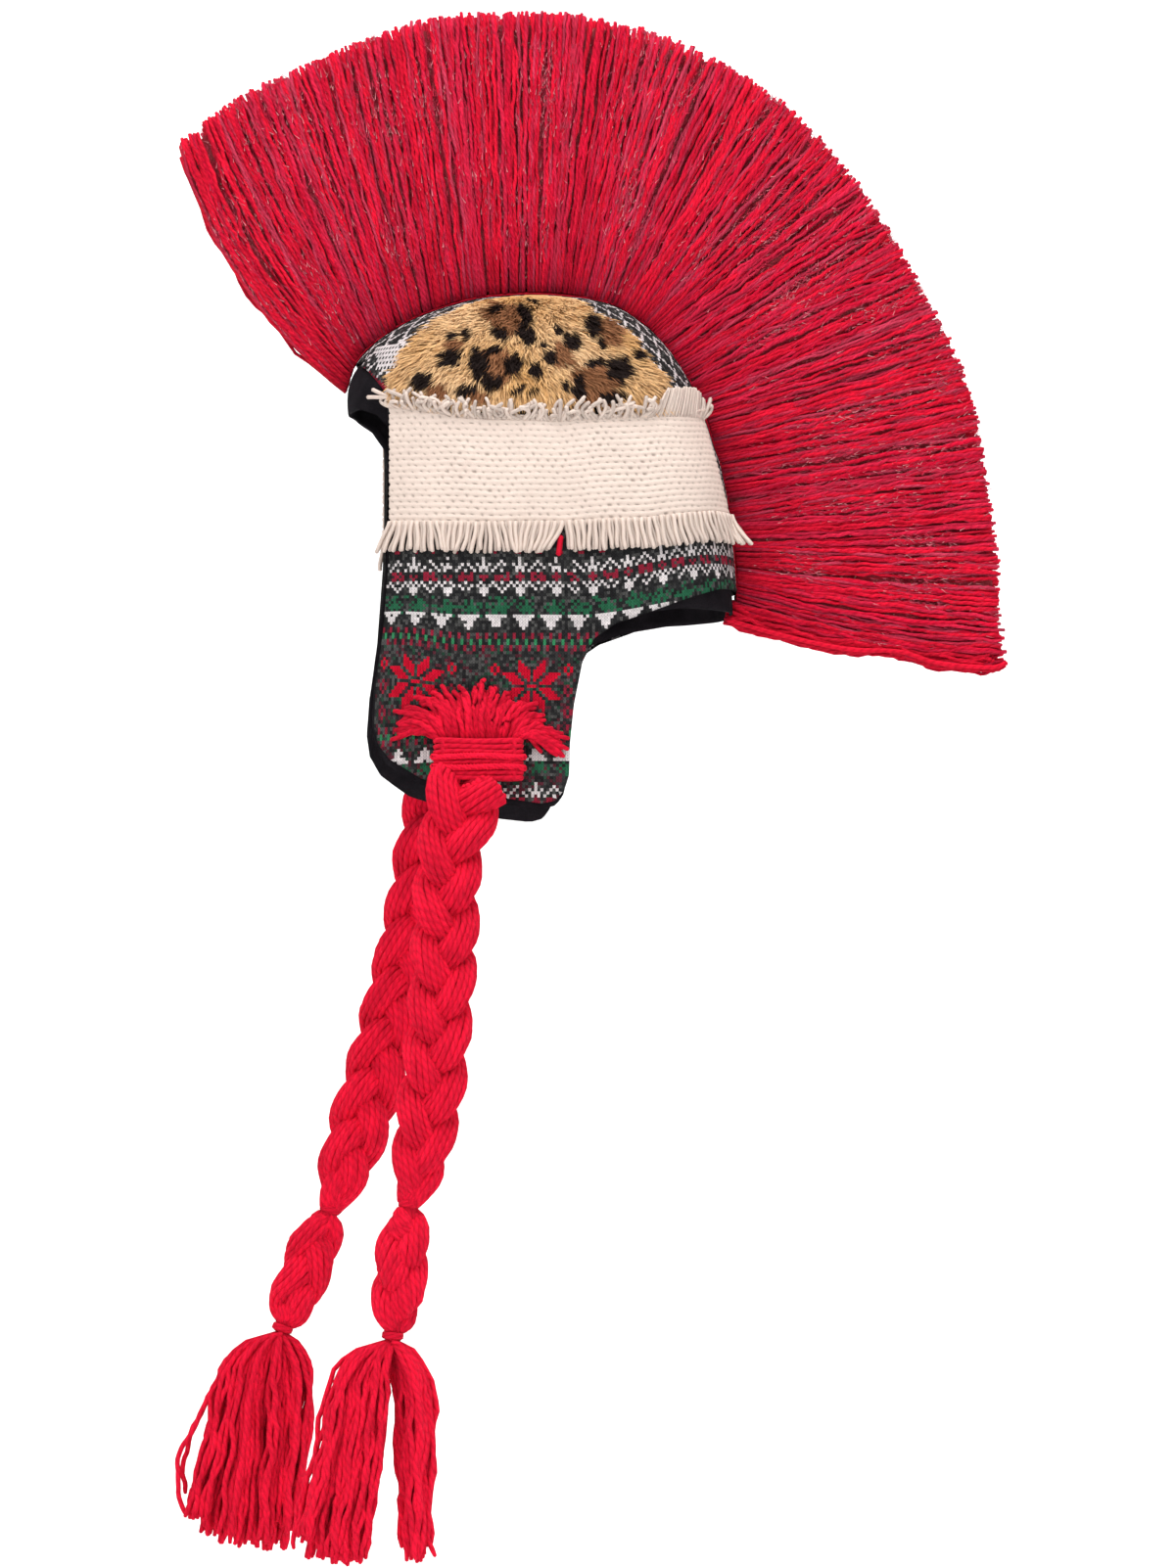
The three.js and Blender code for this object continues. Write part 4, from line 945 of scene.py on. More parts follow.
def form_value(x, y, z):
    """Below zero inside the crown's outer surface."""
    front, back, half, square, _ = crown_form(np.maximum(level_at(z), LEAST_LEVEL))
    across = np.abs(x / np.maximum(half, 0.5)) ** square
    along = np.abs((y - (front + back) / 2) / np.maximum((back - front) / 2, 0.5)) ** square
    return across + along - 1 + (z > 4.99) * 10


def profile_rays(x, turn, out=0.0):
    """Points of the crown on rays from its middle line, at a side distance x and a turn from straight up."""
    x, turn = np.broadcast_arrays(np.asarray(x, float), np.asarray(turn, float))
    low, high = np.zeros(x.shape), np.full(x.shape, 200.0)
    for _ in range(34):
        middle = (low + high) / 2
        hit = form_value(x, MIDDLE_Y + np.sin(turn) * middle, MIDDLE_Z + np.cos(turn) * middle) < 0
        low, high = np.where(hit, middle, low), np.where(hit, high, middle)
    reach = low + out
    return np.stack([x, MIDDLE_Y + np.sin(turn) * reach, MIDDLE_Z + np.cos(turn) * reach], -1)


def even_turns(start, stop, step):
    """Ray turns that give even steps over the crown's middle line, between two points y, z."""
    fine = np.linspace(*[math.atan2(y - MIDDLE_Y, z - MIDDLE_Z) for y, z in (start, stop)], 1200)
    travel = travelled(profile_rays(0.0, fine))
    return np.interp(np.arange(0, travel[-1], step), travel, fine)


def knit_strip():
    rng = np.random.default_rng(SEED["knit_strip"])
    turns = even_turns((-113.5, -34), (96, -160), STITCH)
    x = np.linspace(-(STRIP_HALF - SEAM_GAP), STRIP_HALF - SEAM_GAP, 34)
    points = profile_rays(x[None], turns[:, None])
    rows, columns = points.shape[:2]
    faces = grid_faces(rows, columns)
    flat = points.reshape(-1, 3)
    inner = flat - unit((flat - (0, MIDDLE_Y, MIDDLE_Z)) * (0, 1, 1)) * KNIT_WALL
    points, quads = shell(flat, inner, faces)
    r, c = np.divmod(np.arange(len(faces)), columns - 1)
    white = dotted_diamonds(r, c)
    ground = HEATHER[rng.choice(3, len(faces), p=(0.55, 0.25, 0.2))]
    colours = np.where(white[:, None], SHADES["w"], ground) * rng.uniform(0.75, 1.2, (len(faces), 1))
    wall_colours = np.tile(SHADES["."], (len(quads) - len(faces), 1))
    tint = np.repeat(np.concatenate([colours, wall_colours]), 4, axis=0)
    uv = np.tile(STITCH_UV, (len(quads), 1))
    piece = mesh_object("knit_strip", points, [quads], knit_cloth, uv=[uv], tint=tint)
    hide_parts("crown_strip")


knit_strip()


# Lining
def lining():
    rng = np.random.default_rng(SEED["lining"])
    arcs = np.arange(1.0, DENSE_ARC[-1], 3.0)
    levels = np.interp(arcs, DENSE_ARC, DENSE)
    columns = 150
    angles = np.arange(columns) / columns * TAU
    level, angle = np.meshgrid(levels, angles, indexing="ij")
    flat = level_point(level, angle).reshape(-1, 3)
    faces = grid_faces(len(levels), columns, wrap=True)
    middle = flat[faces].mean(1)
    keep = inside(above(LINING_EDGE), middle[:, 1], middle[:, 2])
    faces = faces[keep]
    a, b = rim_of(faces)
    level, angle = level.ravel().copy(), angle.ravel().copy()
    edge = np.unique(np.concatenate([a, b]))
    on, off = nearest_on(LINING_EDGE, flat[edge, 1], flat[edge, 2])
    near = off < 4.0
    moved = edge[near]
    level[moved] = level_at(on[near, 1])
    sign = np.where(np.cos(angle[moved]) >= 0, 1, -1)
    steep = np.abs(np.cos(angle[moved])) < 0.3
    turned = angle_at(on[near, 0], level[moved])
    turned = np.where(sign > 0, turned, math.pi - turned)
    angle[moved] = np.where(steep, angle[moved], turned)
    ruffle = sum(rng.uniform(0.1, 0.35) * np.sin(angle * n + level * rng.uniform(0.5, 3) + rng.uniform(0, TAU))
                 for n in (5, 9, 14, 23))
    ruffle = np.clip(ruffle, -0.9, 0.3)
    point = level_point(level, angle)
    bare = smooth((-point[:, 2] - 22) / 12) * smooth((-92 - point[:, 1]) / 12) * (point[:, 2] > -90)
    _, hem = nearest_on(LINING_EDGE, point[:, 1], point[:, 2])
    bulge = bare * (1.0 + 1.1 * np.sin(np.clip(hem / 26, 0, 1) * math.pi))
    out = -KNIT_WALL - CLEAR + ruffle - 0.3 + bulge
    outer = crown_point(level, angle, out)
    inner = crown_point(level, angle, out - LINING_WALL - 0.5 * bare)
    points, quads = shell(outer, inner, faces, whole=True)
    piece = mesh_object("fleece_lining", points, [quads], fleece)
    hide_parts("lining")


lining()


# Woven bands
# Where a band starts in front, and where its first and last rib end at the back
WOVEN_FRONT, WOVEN_BACK = -95.2, (75.5, 90.5)
# Sideways lean of the bottom fringe's ends, by the place of their roots
FRINGE_LEAN = np.array([
    (-95, -7), (-91, -5), (-86, -1.5), (-76, 0.8), (-70, 3), (-63, -1), (-54, -4.5), (-45, 0), (-34, 4),
    (-29, 1), (-22, -3.5), (-8, -6), (-3.1, -8), (-3, 1.5), (4, 2.5), (9, 0), (23, 1), (37, 2.5), (50, 4),
    (64, 4.5), (75, 5), (84, 5.5), (88, 8), (90, 11),
]).T


def woven_rows(y):
    """Heights of the first and the last rib at this y."""
    return np.interp(y, WOVEN_Y, WOVEN_TOP), np.interp(y, WOVEN_Y, WOVEN_BOTTOM)


def woven_point(s, t):
    """Side position at a share s along the band and t down it."""
    y = mix(WOVEN_FRONT, mix(*WOVEN_BACK, np.clip(t, 0, 1)), s)
    top, bottom = woven_rows(y)
    top = top + np.interp(y, WOVEN_Y, WOVEN_LIFT)
    return y, mix(top, bottom, t)


def top_strands(place, t, rng):
    """Sway, rise, lift off the crown and radius of the short, tangled strands, combed near the nape."""
    count = len(place)
    combed = np.clip((place - 43) / 3, 0, 1) * np.clip((74 - place) / 2, 0, 1)
    comb_reach = np.interp(place, [44, 50, 69, 74], [11.5, 14.5, 14.5, 10])
    comb_lean = np.interp(place, [44, 50, 66, 74], [5.5, 2.5, -1, -3.5])
    reach = mix(rng.uniform(5.0, 11.0, (count, 1)), comb_reach + rng.uniform(-0.6, 0.6, (count, 1)), combed)
    curl = np.where(place > 74, 0.25, 1.0) * rng.uniform(-5.5, 5.5, (count, 1))
    curl = curl * np.sin(t * math.pi * rng.uniform(0.7, 1.3, (count, 1)))
    sway = mix(curl, comb_lean * t ** 0.8, combed)
    hook = rng.uniform(-0.6, 1.3, (count, 1)) * (1 - combed)
    climb = reach * (t - 0.55 * np.maximum(hook, 0) * t ** 3)
    lift = 1.2 + mix(2.0 + 5.0 * rng.uniform(0, 1, (count, 1)), 5.0, combed) * t ** 0.8 * (place > -90)
    return sway, climb, lift, rng.uniform(0.95, 1.2, (count, 1)) - 0.4 * combed


def bottom_strands(place, t, rng, under, far_side):
    """The same for the long strands that hang in tufts, every second one under its neighbours."""
    count = len(place)
    reach = rng.uniform(14.6, 16.8, (count, 1))
    lean = np.interp(place, FRINGE_LEAN[0], FRINGE_LEAN[1]) + rng.uniform(-0.5, 0.5, (count, 1))
    lean = np.where(far_side & (place < -88), 0.2, 1.0) * lean
    sway = lean * t ** 1.3 + 0.35 * np.sin(t * 6 + rng.uniform(0, TAU, (count, 1)))
    lift = 1.5 + rng.uniform(0, 0.5, (count, 1)) + np.where(under, -0.7, 0.5)[:, None]
    return sway, reach * t, lift, rng.uniform(1.15, 1.3, (count, 1))


def woven_fringe(side, sign, travel, fine, rng):
    """Cut strands along both edges of a band, two strays at its front corner and a red end below it."""
    fringe = Yarns(4)
    rings = 9
    t = np.linspace(0, 1, rings)[None]
    for top, count in ((True, YARNS["top_fringe"]), (False, YARNS["bottom_fringe"])):
        under = np.arange(count) % 2 == 1
        jitter = rng.uniform(0.15, 0.85, count) if top else rng.uniform(0.38, 0.62, count)
        spots = np.clip((np.arange(count) + jitter) / count, 0.004, 0.996)
        y0, z0 = woven_point(np.interp(spots * travel[-1], travel, fine), 0.0 if top else 1.0)
        place = y0[:, None]
        if top:
            sway, climb, lift, thick = top_strands(place, t, rng)
        else:
            sway, climb, lift, thick = bottom_strands(place, t, rng, under, sign < 0)
        up = 1 if top else -1
        z = z0[:, None] - up * 2.5 + up * climb
        y = place + sway
        on = np.minimum(y, 89.5)
        level = level_at(z)
        centre = crown_point(level, angle_at(on, level), CLEAR + lift + 0 * t)
        centre[..., 1] += y - on
        thick = thick * np.interp(t[0], [0, 0.9, 1], [1, 1, 0.85])[None]
        # Every second strand, lying under its neighbours, is tinted 0.8: painted shade in the gaps between the
        # strands above. The first factor is random tone.
        shade = rng.uniform(0.95, 1.03, (count, 1)) * np.where(under, 0.8, 1.0)[:, None]
        shade = shade[..., None] * CREAM * np.ones((count, rings, 1))
        fringe.add(centre * (sign, 1, 1), thick, shade, aside=(sign, 0, 0))
    for k in range(2 if side == "left" else 0):
        t = np.linspace(0, 1, 12)
        level = level_at(-59 + (1 + 1.8 * k) * t + 2 * t * t * (k % 2))
        stray = crown_point(level, angle_at(mix(-93, -104.5 + 2.5 * k, t), level), CLEAR + 1.4 + 2.4 * t)
        fringe.add(stray * (sign, 1, 1), 1.1, CREAM * np.ones((1, 12, 1)), aside=(sign, 0, 0))
    t = np.linspace(0, 1, 8)
    level = level_at(-136 - 10 * t)
    red = crown_point(level, angle_at(-4 - 1.2 * t, level), CLEAR + 1.2)
    fringe.add(red * (sign, 1, 1), 1.5, np.array([0.55, 0.006, 0.025]) * np.ones((1, 8, 1)), aside=(sign, 0, 0))
    return fringe.made(f"woven_fringe_{side}", cotton, "woven")


def woven_band(side, seed):
    rng = np.random.default_rng(seed)
    sign = 1 if side == "left" else -1
    columns, rows = 190, WOVEN_RIBS * 5 + 1
    fine = np.linspace(0, 1, 800)
    y, z = woven_point(fine, 0.5)
    level = level_at(z)
    arc = level_point(level, angle_at(y, level))
    travel = travelled(arc)
    s = np.interp(np.linspace(0, travel[-1], columns), travel, fine)
    t = np.linspace(0, 1, rows)
    s_grid, t_grid = np.meshgrid(s, t)
    along = np.linspace(0, travel[-1], columns)[None] * np.ones((rows, 1))
    wavy = 0.006 * np.sin(along / 17) + 0.004 * np.sin(along / 6.1 + 1)
    y, z = woven_point(s_grid, t_grid)
    level = level_at(z)
    angle = angle_at(y, level)
    first, last = woven_rows(y)
    rib_at = ((first - z) / (first - last) + wavy) * WOVEN_RIBS
    rib = np.abs(np.sin(rib_at * math.pi)) ** 0.7
    row_number = np.floor(rib_at + 0.5)
    valley = 1 - np.abs(np.sin(rib_at * math.pi))
    dot = (np.abs((along + 2.5 * (row_number % 2)) % 5.0 - 2.5) < 0.6) & (valley > 0.6)
    beads = 0.16 * np.sin(along * TAU / 2.5 + row_number * 2.1)
    out = CLEAR + 1.1 + 0.45 * rib + beads * rib - 0.8 * dot
    out = np.maximum(out, CLEAR + 0.25)
    outer = crown_point(level, angle, out).reshape(-1, 3)
    inner = crown_point(level, angle, CLEAR).reshape(-1, 3)
    faces = grid_faces(rows, columns)
    points, quads = shell(outer, inner, faces)
    # The rib valleys are darkened a little and the dips at the dots by 0.3: painted shade in the hollows. The
    # cut edges' walls get 0.9 of the cream: painted shade on the edges. The random term is tone.
    shade = 1 - 0.03 * valley - 0.3 * dot + rng.uniform(-0.02, 0.02, valley.shape)
    tint = np.concatenate([CREAM * shade.reshape(-1, 1), np.tile(CREAM, (len(points) - len(outer), 1)) * 0.9])
    cloth = mesh_object(f"woven_cloth_{side}", points, [quads], cotton, tint=tint, mirror=sign < 0)
    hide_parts(f"woven_band_{side}")

    strands = woven_fringe(side, sign, travel, fine, rng)


woven_band("left", SEED["woven_band"])
woven_band("right", SEED["woven_band"] + 1)


# Fur
TAN, PALE, BROWN, BLACK = [np.array(c) for c in (
    (0.53, 0.29, 0.107), (0.68, 0.45, 0.25), (0.23, 0.095, 0.042), (0.010, 0.005, 0.004))]
# Spots of the fur: y, z, half width, half height, turn in degrees, colour
FUR_SPOTS = [
    (-33, -17.5, 13, 9, -35, "brown"), (-36, -27, 6, 4, -30, "black"), (-22, -27, 8, 5.5, -55, "black"),
    (-22, -15, 4.5, 8, 20, "black"), (-38, -12, 5, 3, 30, "black"),
    (-61.6, -27.3, 3.4, 3.2, 0, "black"), (-54.2, -26.4, 3.2, 3.8, 20, "black"),
    (-62.9, -39.9, 7.5, 6, 25, "black"), (-61, -33, 4.5, 3.2, 0, "brown"),
    (-38.2, -45.3, 10, 10, 0, "brown"), (-47.5, -44, 6, 11.5, 8, "black"), (-29.5, -44, 6, 8, -25, "black"),
    (-41, -53.5, 7, 4.5, 10, "black"), (-40, -36, 6, 2.6, 10, "black"),
    (-4.7, -24.7, 3.5, 2.8, -20, "black"), (2.7, -30.2, 6.5, 6, -40, "black"), (-3, -38.4, 7, 6.5, 20, "brown"),
    (-9.5, -40, 4.5, 5, 30, "black"), (-17.5, -47, 4.6, 6, 30, "black"), (-13, -33, 2.4, 2.4, 0, "black"),
    (14, -21, 6, 8.5, 5, "black"), (23.2, -24, 7, 9, 15, "brown"), (18, -32, 2.5, 5, 10, "black"),
    (15, -54, 13, 12.5, -15, "brown"), (27.7, -45.5, 8.5, 9.5, -30, "black"), (6, -56, 4.2, 9, 0, "black"),
    (14, -42, 7, 3, 15, "black"), (24, -61, 9, 4, 10, "black"),
    (38.2, -36, 4.5, 4, -45, "black"), (-77.8, -52.2, 6.5, 6, 30, "black"), (-70, -58, 6, 4, 0, "brown"),
    (-55.2, -58, 7, 3.6, 5, "black"), (-48, -61, 6, 3, 0, "brown"), (-27, -57.4, 5.5, 2.4, 35, "black"),
    (-19, -58.8, 4.4, 2, 40, "black"), (-17, -5.7, 5, 2.6, -35, "black"), (-1.5, -55, 2.6, 3.6, 10, "black"),
]


def fur_colour(y, z, rng):
    """Spotted coat seen from the side, with soft spot edges."""
    n = len(y)
    drift = 0.5 + 0.25 * np.sin(y * 0.09 + 1) + 0.25 * np.sin(z * 0.13 + y * 0.05)
    colour = TAN + (PALE - TAN) * (drift[:, None] * 0.75 + rng.uniform(-0.12, 0.25, (n, 1)))
    for wanted, shade in (("brown", BROWN), ("black", BLACK)):
        for cy, cz, wide, high, turn, kind in FUR_SPOTS:
            if kind != wanted:
                continue
            a = math.radians(turn)
            dy, dz = y - cy, z - cz
            size = 0.86 if kind == "black" else 1.02
            u = (dy * math.cos(a) + dz * math.sin(a)) / (wide * size)
            v = (-dy * math.sin(a) + dz * math.cos(a)) / (high * size)
            wave = 0.12 * np.sin(np.arctan2(v, u) * 5 + cy)
            inner = np.hypot(u, v) + wave + rng.normal(0, 0.09, n)
            share = np.clip((1.12 - inner) / 0.22, 0, 1)[:, None]
            colour = colour * (1 - share) + shade * share
    return colour


def fur_hairs(first, reach, rng):
    """Points of bent, tapered hairs, the five numbers of each hair's points, and the colours."""
    tries = 3 * FUR_HAIRS
    arc, angle = rng.uniform(0, reach, tries), rng.uniform(-1.5, 1.4, tries)
    level = np.interp(arc, DENSE_ARC, DENSE)
    root = level_point(level, angle)
    weight = between(CROWN["half"], level) / 85
    cloth_top = woven_rows(root[:, 1])[0] + np.interp(root[:, 1], WOVEN_Y, WOVEN_LIFT)
    ok = inside(FUR_OUTLINE, root[:, 1], root[:, 2]) & (root[:, 0] > FUR_SEAM_HALF + 1.5)
    ok &= (rng.uniform(0, 1, tries) < weight) & (root[:, 2] > cloth_top + 7)
    level, angle, root = [values[ok][:FUR_HAIRS] for values in (level, angle, root)]
    n = len(level)
    normal = crown_normal(level, angle)
    down = unit(level_point(level + 0.03, angle) - level_point(level, angle))
    back = np.cross(normal, down)
    back *= np.sign(back[:, 1:2])
    spread = np.tanh((root[:, 1:2] + 25) / 40) * 0.9
    clump = np.sin(root[:, 1:2] * 0.35 + np.sin(root[:, 2:3] * 0.3) * 2) * 0.4
    lie = unit(down * rng.uniform(0.5, 1.2, (n, 1)) + back * (spread + clump + rng.normal(0, 0.3, (n, 1))))
    near_seam = np.clip((root[:, :1] - FUR_SEAM_HALF) / 14, 0, 1)
    low_edge = np.clip((-50 - root[:, 2:]) / 8, 0, 1)
    lie = unit(lie + down * 2.2 * low_edge)
    long = rng.uniform(6.0, 11.0, (n, 1)) * (0.6 + 0.4 * near_seam) * (1 + 0.25 * low_edge)
    stand = rng.uniform(0.22, 0.5, (n, 1)) * (0.45 + 0.55 * near_seam) * (1 - 0.55 * low_edge)
    start = root + normal * (CLEAR + 0.8)
    knee = start + lie * long * 0.5 + normal * long * stand * 0.62
    tip = start + lie * long * 0.95 + normal * long * stand * 0.78 - down * 0.5
    across = unit(np.cross(normal + rng.normal(0, 0.5, (n, 3)), lie))
    wide = rng.uniform(0.32, 0.56, (n, 1))
    hair = np.stack([start - across * wide, start + across * wide, knee + across * wide * 0.8,
                     knee - across * wide * 0.8, tip], 1).reshape(-1, 3)
    seen = root + lie * long * 0.6
    colour = fur_colour(seen[:, 1], seen[:, 2], rng)
    # Hairs are darker at the root, 0.6, rising to 1.12 at the tip: painted shade deep in the pile. The per-hair
    # factor is random tone.
    shades = np.array([0.6, 0.6, 0.98, 0.98, 1.12])[None, :, None] * rng.uniform(0.85, 1.12, (n, 1, 1))
    return hair, first + np.arange(5 * n).reshape(n, 5), (colour[:, None, :] * shades).reshape(-1, 3)


def fur_patch(side, seed):
    rng = np.random.default_rng(seed)
    # Backing cloth
    arcs = np.arange(8.0, np.interp(66, -DENSE_Z, DENSE_ARC), 1.6)
    levels = np.interp(arcs, DENSE_ARC, DENSE)
    angles = np.linspace(-1.45, 1.35, 150)
    level, angle = np.meshgrid(levels, angles, indexing="ij")
    flat = level_point(level, angle).reshape(-1, 3)
    faces = grid_faces(len(levels), len(angles))
    middle = flat[faces].mean(1)
    keep = inside(FUR_OUTLINE, middle[:, 1], middle[:, 2]) & (middle[:, 0] > FUR_SEAM_HALF)
    faces = faces[keep]
    outer, inner = [crown_point(level.ravel(), angle.ravel(), out) for out in (CLEAR + 1.6, CLEAR)]
    points, quads = shell(outer, inner, faces)
    # The backing cloth takes the coat's colour at 0.8: painted shade under the hairs.
    tint = fur_colour(points[:, 1], points[:, 2], rng) * 0.8

    hair, tips, hair_tint = fur_hairs(len(points), arcs[-1] + 2, rng)
    points, tint = np.concatenate([points, hair]), np.concatenate([tint, hair_tint])
    faces = [np.concatenate([quads, tips[:, :4]]), tips[:, [3, 2, 4]]]
    piece = mesh_object(f"fur_pile_{side}", points, faces, fur_hair, tint=tint, mirror=side == "right")
    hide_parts(f"fur_patch_{side}")


fur_patch("left", SEED["fur_patch"])
fur_patch("right", SEED["fur_patch"] + 1)


# Crest
def crest_spot(at, reach):
    """Point of the fan at a fractional table row and a share of the yarn's length."""
    at, reach = np.broadcast_arrays(np.asarray(at, float), np.asarray(reach, float))
    root = np.stack([between(CREST["rootY"], at), between(CREST["rootZ"], at)], -1)
    tip = np.stack([between(CREST["tipY"], at), between(CREST["tipZ"], at)], -1)
    run = tip - root
    aside = unit(np.stack([-run[..., 1], run[..., 0]], -1))
    bulge = 4 * reach * (1 - reach) * between(CREST["bow"], at)
    return root + run * reach[..., None] + aside * bulge[..., None]


LAST_ROW = len(CREST["bow"]) - 1
CREST_LENGTH = 155
FAN_AT = np.linspace(0, LAST_ROW, 1500)
FAN_TRAVEL = travelled(crest_spot(FAN_AT, 0.62))


def slit(at, reach):
    """The first lock stands a little apart from the rest of the fan."""
    off = at - 0.4
    push = 0.05 * np.exp(-(off / 0.16) ** 2) * smooth(reach * 1.6)
    return np.clip(at + np.where(off < 0, -push, push), 0, LAST_ROW)


# Layers of the crest. low and high are depths, from 0 in the middle to 1 at the fan's side faces
CREST_LAYERS = {
    "outer": dict(count=540, rings=28, sides=5, low=0.86, high=1.0, radius=1.05, group=2, drift=0.06, crimp=0.5,
                  colours=[(0.94, 1.0, 1.0), (0.9, 0.9, 0.95), (0.8, 0.7, 1.0), (0.84, 2.0, 1.6)]),
    "dull": dict(count=700, rings=20, sides=4, low=0.76, high=0.95, radius=1.0, group=1, drift=0.09, crimp=0.6,
                 colours=[(0.74, 3.4, 1.9), (0.7, 2.0, 1.5), (0.86, 1.2, 1.1), (0.72, 5.5, 2.6)]),
    "inner": dict(count=520, rings=10, sides=3, low=0.0, high=0.6, radius=1.65, group=3, drift=0.05, crimp=0.3,
                  colours=[(0.95, 0.9, 0.9), (0.7, 0.8, 0.9)]),
}
# Lower edge of the fan below its last row, where loose yarns hang: y, z
LOOSE_EDGE = np.array([
    (91, -176.5), (121, -185), (157, -192.5), (187, -194), (207, -200), (236, -202.5), (246, -200),
])


def loose_yarns(yarns, palette, rng, rings=40):
    """Yarns between the fan's last row and its loose lower edge, in three depths."""
    count = YARNS["loose"]
    at = np.linspace(0, len(LOOSE_EDGE) - 1, rings)
    line = np.stack([between(LOOSE_EDGE[:, k], at) for k in (0, 1)], -1)
    edge = crest_spot(14.8, np.linspace(0.0, 0.985, rings)) - (1.2, 0) * np.linspace(1, 0, rings)[:, None] ** 8
    share = np.linspace(0, 1, count)
    for k in rng.permutation(count):
        x = rng.uniform(*((7.5, 11.5), (-11.5, -7.5), (-7, 7))[k % 3]) * np.linspace(0.85, 1.12, rings)
        sway = 0.05 * np.sin(np.linspace(0, rng.uniform(3, 8), rings) + rng.uniform(0, TAU))
        both = mix(edge, line, np.clip(share[k] + sway, 0, 1)[:, None])
        yarn = np.concatenate([x[:, None], both], 1) + waves(rng, 1, rings, 1.0, (30, 11), at * 30)[0]
        stop = rng.integers(rings - 3, rings + 1)
        colour = palette[rng.integers(0, len(palette))] * rng.uniform(0.72, 1.06)
        yarns.add(yarn[:stop], 1.05, colour * np.ones((1, stop, 3)))
    yarns.add(np.concatenate([12.6 + 0 * at[:, None], line + (0, 1.2)], 1), 1.3, 1.0)


def crest_yarns(name, count, rings, sides, low, high, radius, group, drift, crimp, colours):
    """Yarns of the fan in one layer."""
    rng = np.random.default_rng(SEED[name])
    groups = count // group
    centre = (np.arange(groups) + rng.uniform(0, 1, groups)) / groups * FAN_TRAVEL[-1]
    travel = np.repeat(centre, group) + rng.normal(0, 1.9, groups * group)
    at0 = np.interp(travel, FAN_TRAVEL, FAN_AT)
    n = len(at0)
    face = np.repeat(np.where(np.arange(groups) % 2, -1, 1), group)
    depth = face * rng.uniform(low, high, n)
    stop = np.clip(rng.normal(0.987, 0.005, n), 0.955, 1.0)
    t = np.linspace(0, 1, rings)
    reach = 0.008 + (stop[:, None] - 0.008) * t[None]
    lean = rng.normal(0, drift, (n, 1)) * np.sin(t[None] * math.pi * 0.9 + rng.uniform(-0.5, 0.5, (n, 1)))
    at = slit(np.clip(at0[:, None] + lean, 0, LAST_ROW), reach)
    half = mix(CREST_ROOT_HALF - 2.0, CREST_TIP_HALF - 1.2, t)[None]
    points = np.concatenate([(depth[:, None] * half)[..., None], crest_spot(at, reach)], -1)
    along = t * CREST_LENGTH
    points = points + waves(rng, n, rings, 0.8, (46, 19), along) * np.clip(t * 5, 0.15, 1)[None, :, None]
    points = points + waves(rng, n, rings, crimp, (11.5,), along) * np.clip(t * 6, 0, 1)[None, :, None]
    palette = np.array(colours)
    shade = palette[rng.integers(0, len(colours), n)] * rng.uniform(0.86, 1.08, (n, 1))
    drift_tone = 1 + 0.1 * np.sin(t[None] * rng.uniform(6, 26, (n, 1)) + rng.uniform(0, TAU, (n, 1)))
    # Yarns are darker near their roots, 0.6 at the crown rising to 1.03: painted shade where the fan meets the
    # crown.
    painted_root_shade = np.interp(t, [0, 0.1, 0.4, 1], [0.6, 0.86, 1, 1.03])[None, :, None]
    shade = shade[:, None] * drift_tone[..., None] * painted_root_shade
    swell = np.interp(t, [0, 0.7, 0.97, 1], [0.92, 1.0, 1.12, 0.95])[None]
    thick = radius * rng.uniform(0.82, 1.15, (n, 1)) * swell
    yarns = Yarns(sides)
    yarns.add(points, thick, shade)
    if name == "outer":
        loose_yarns(yarns, palette, rng)
    return yarns.made(f"crest_yarns_{name}", yarn_crest, "yarn")


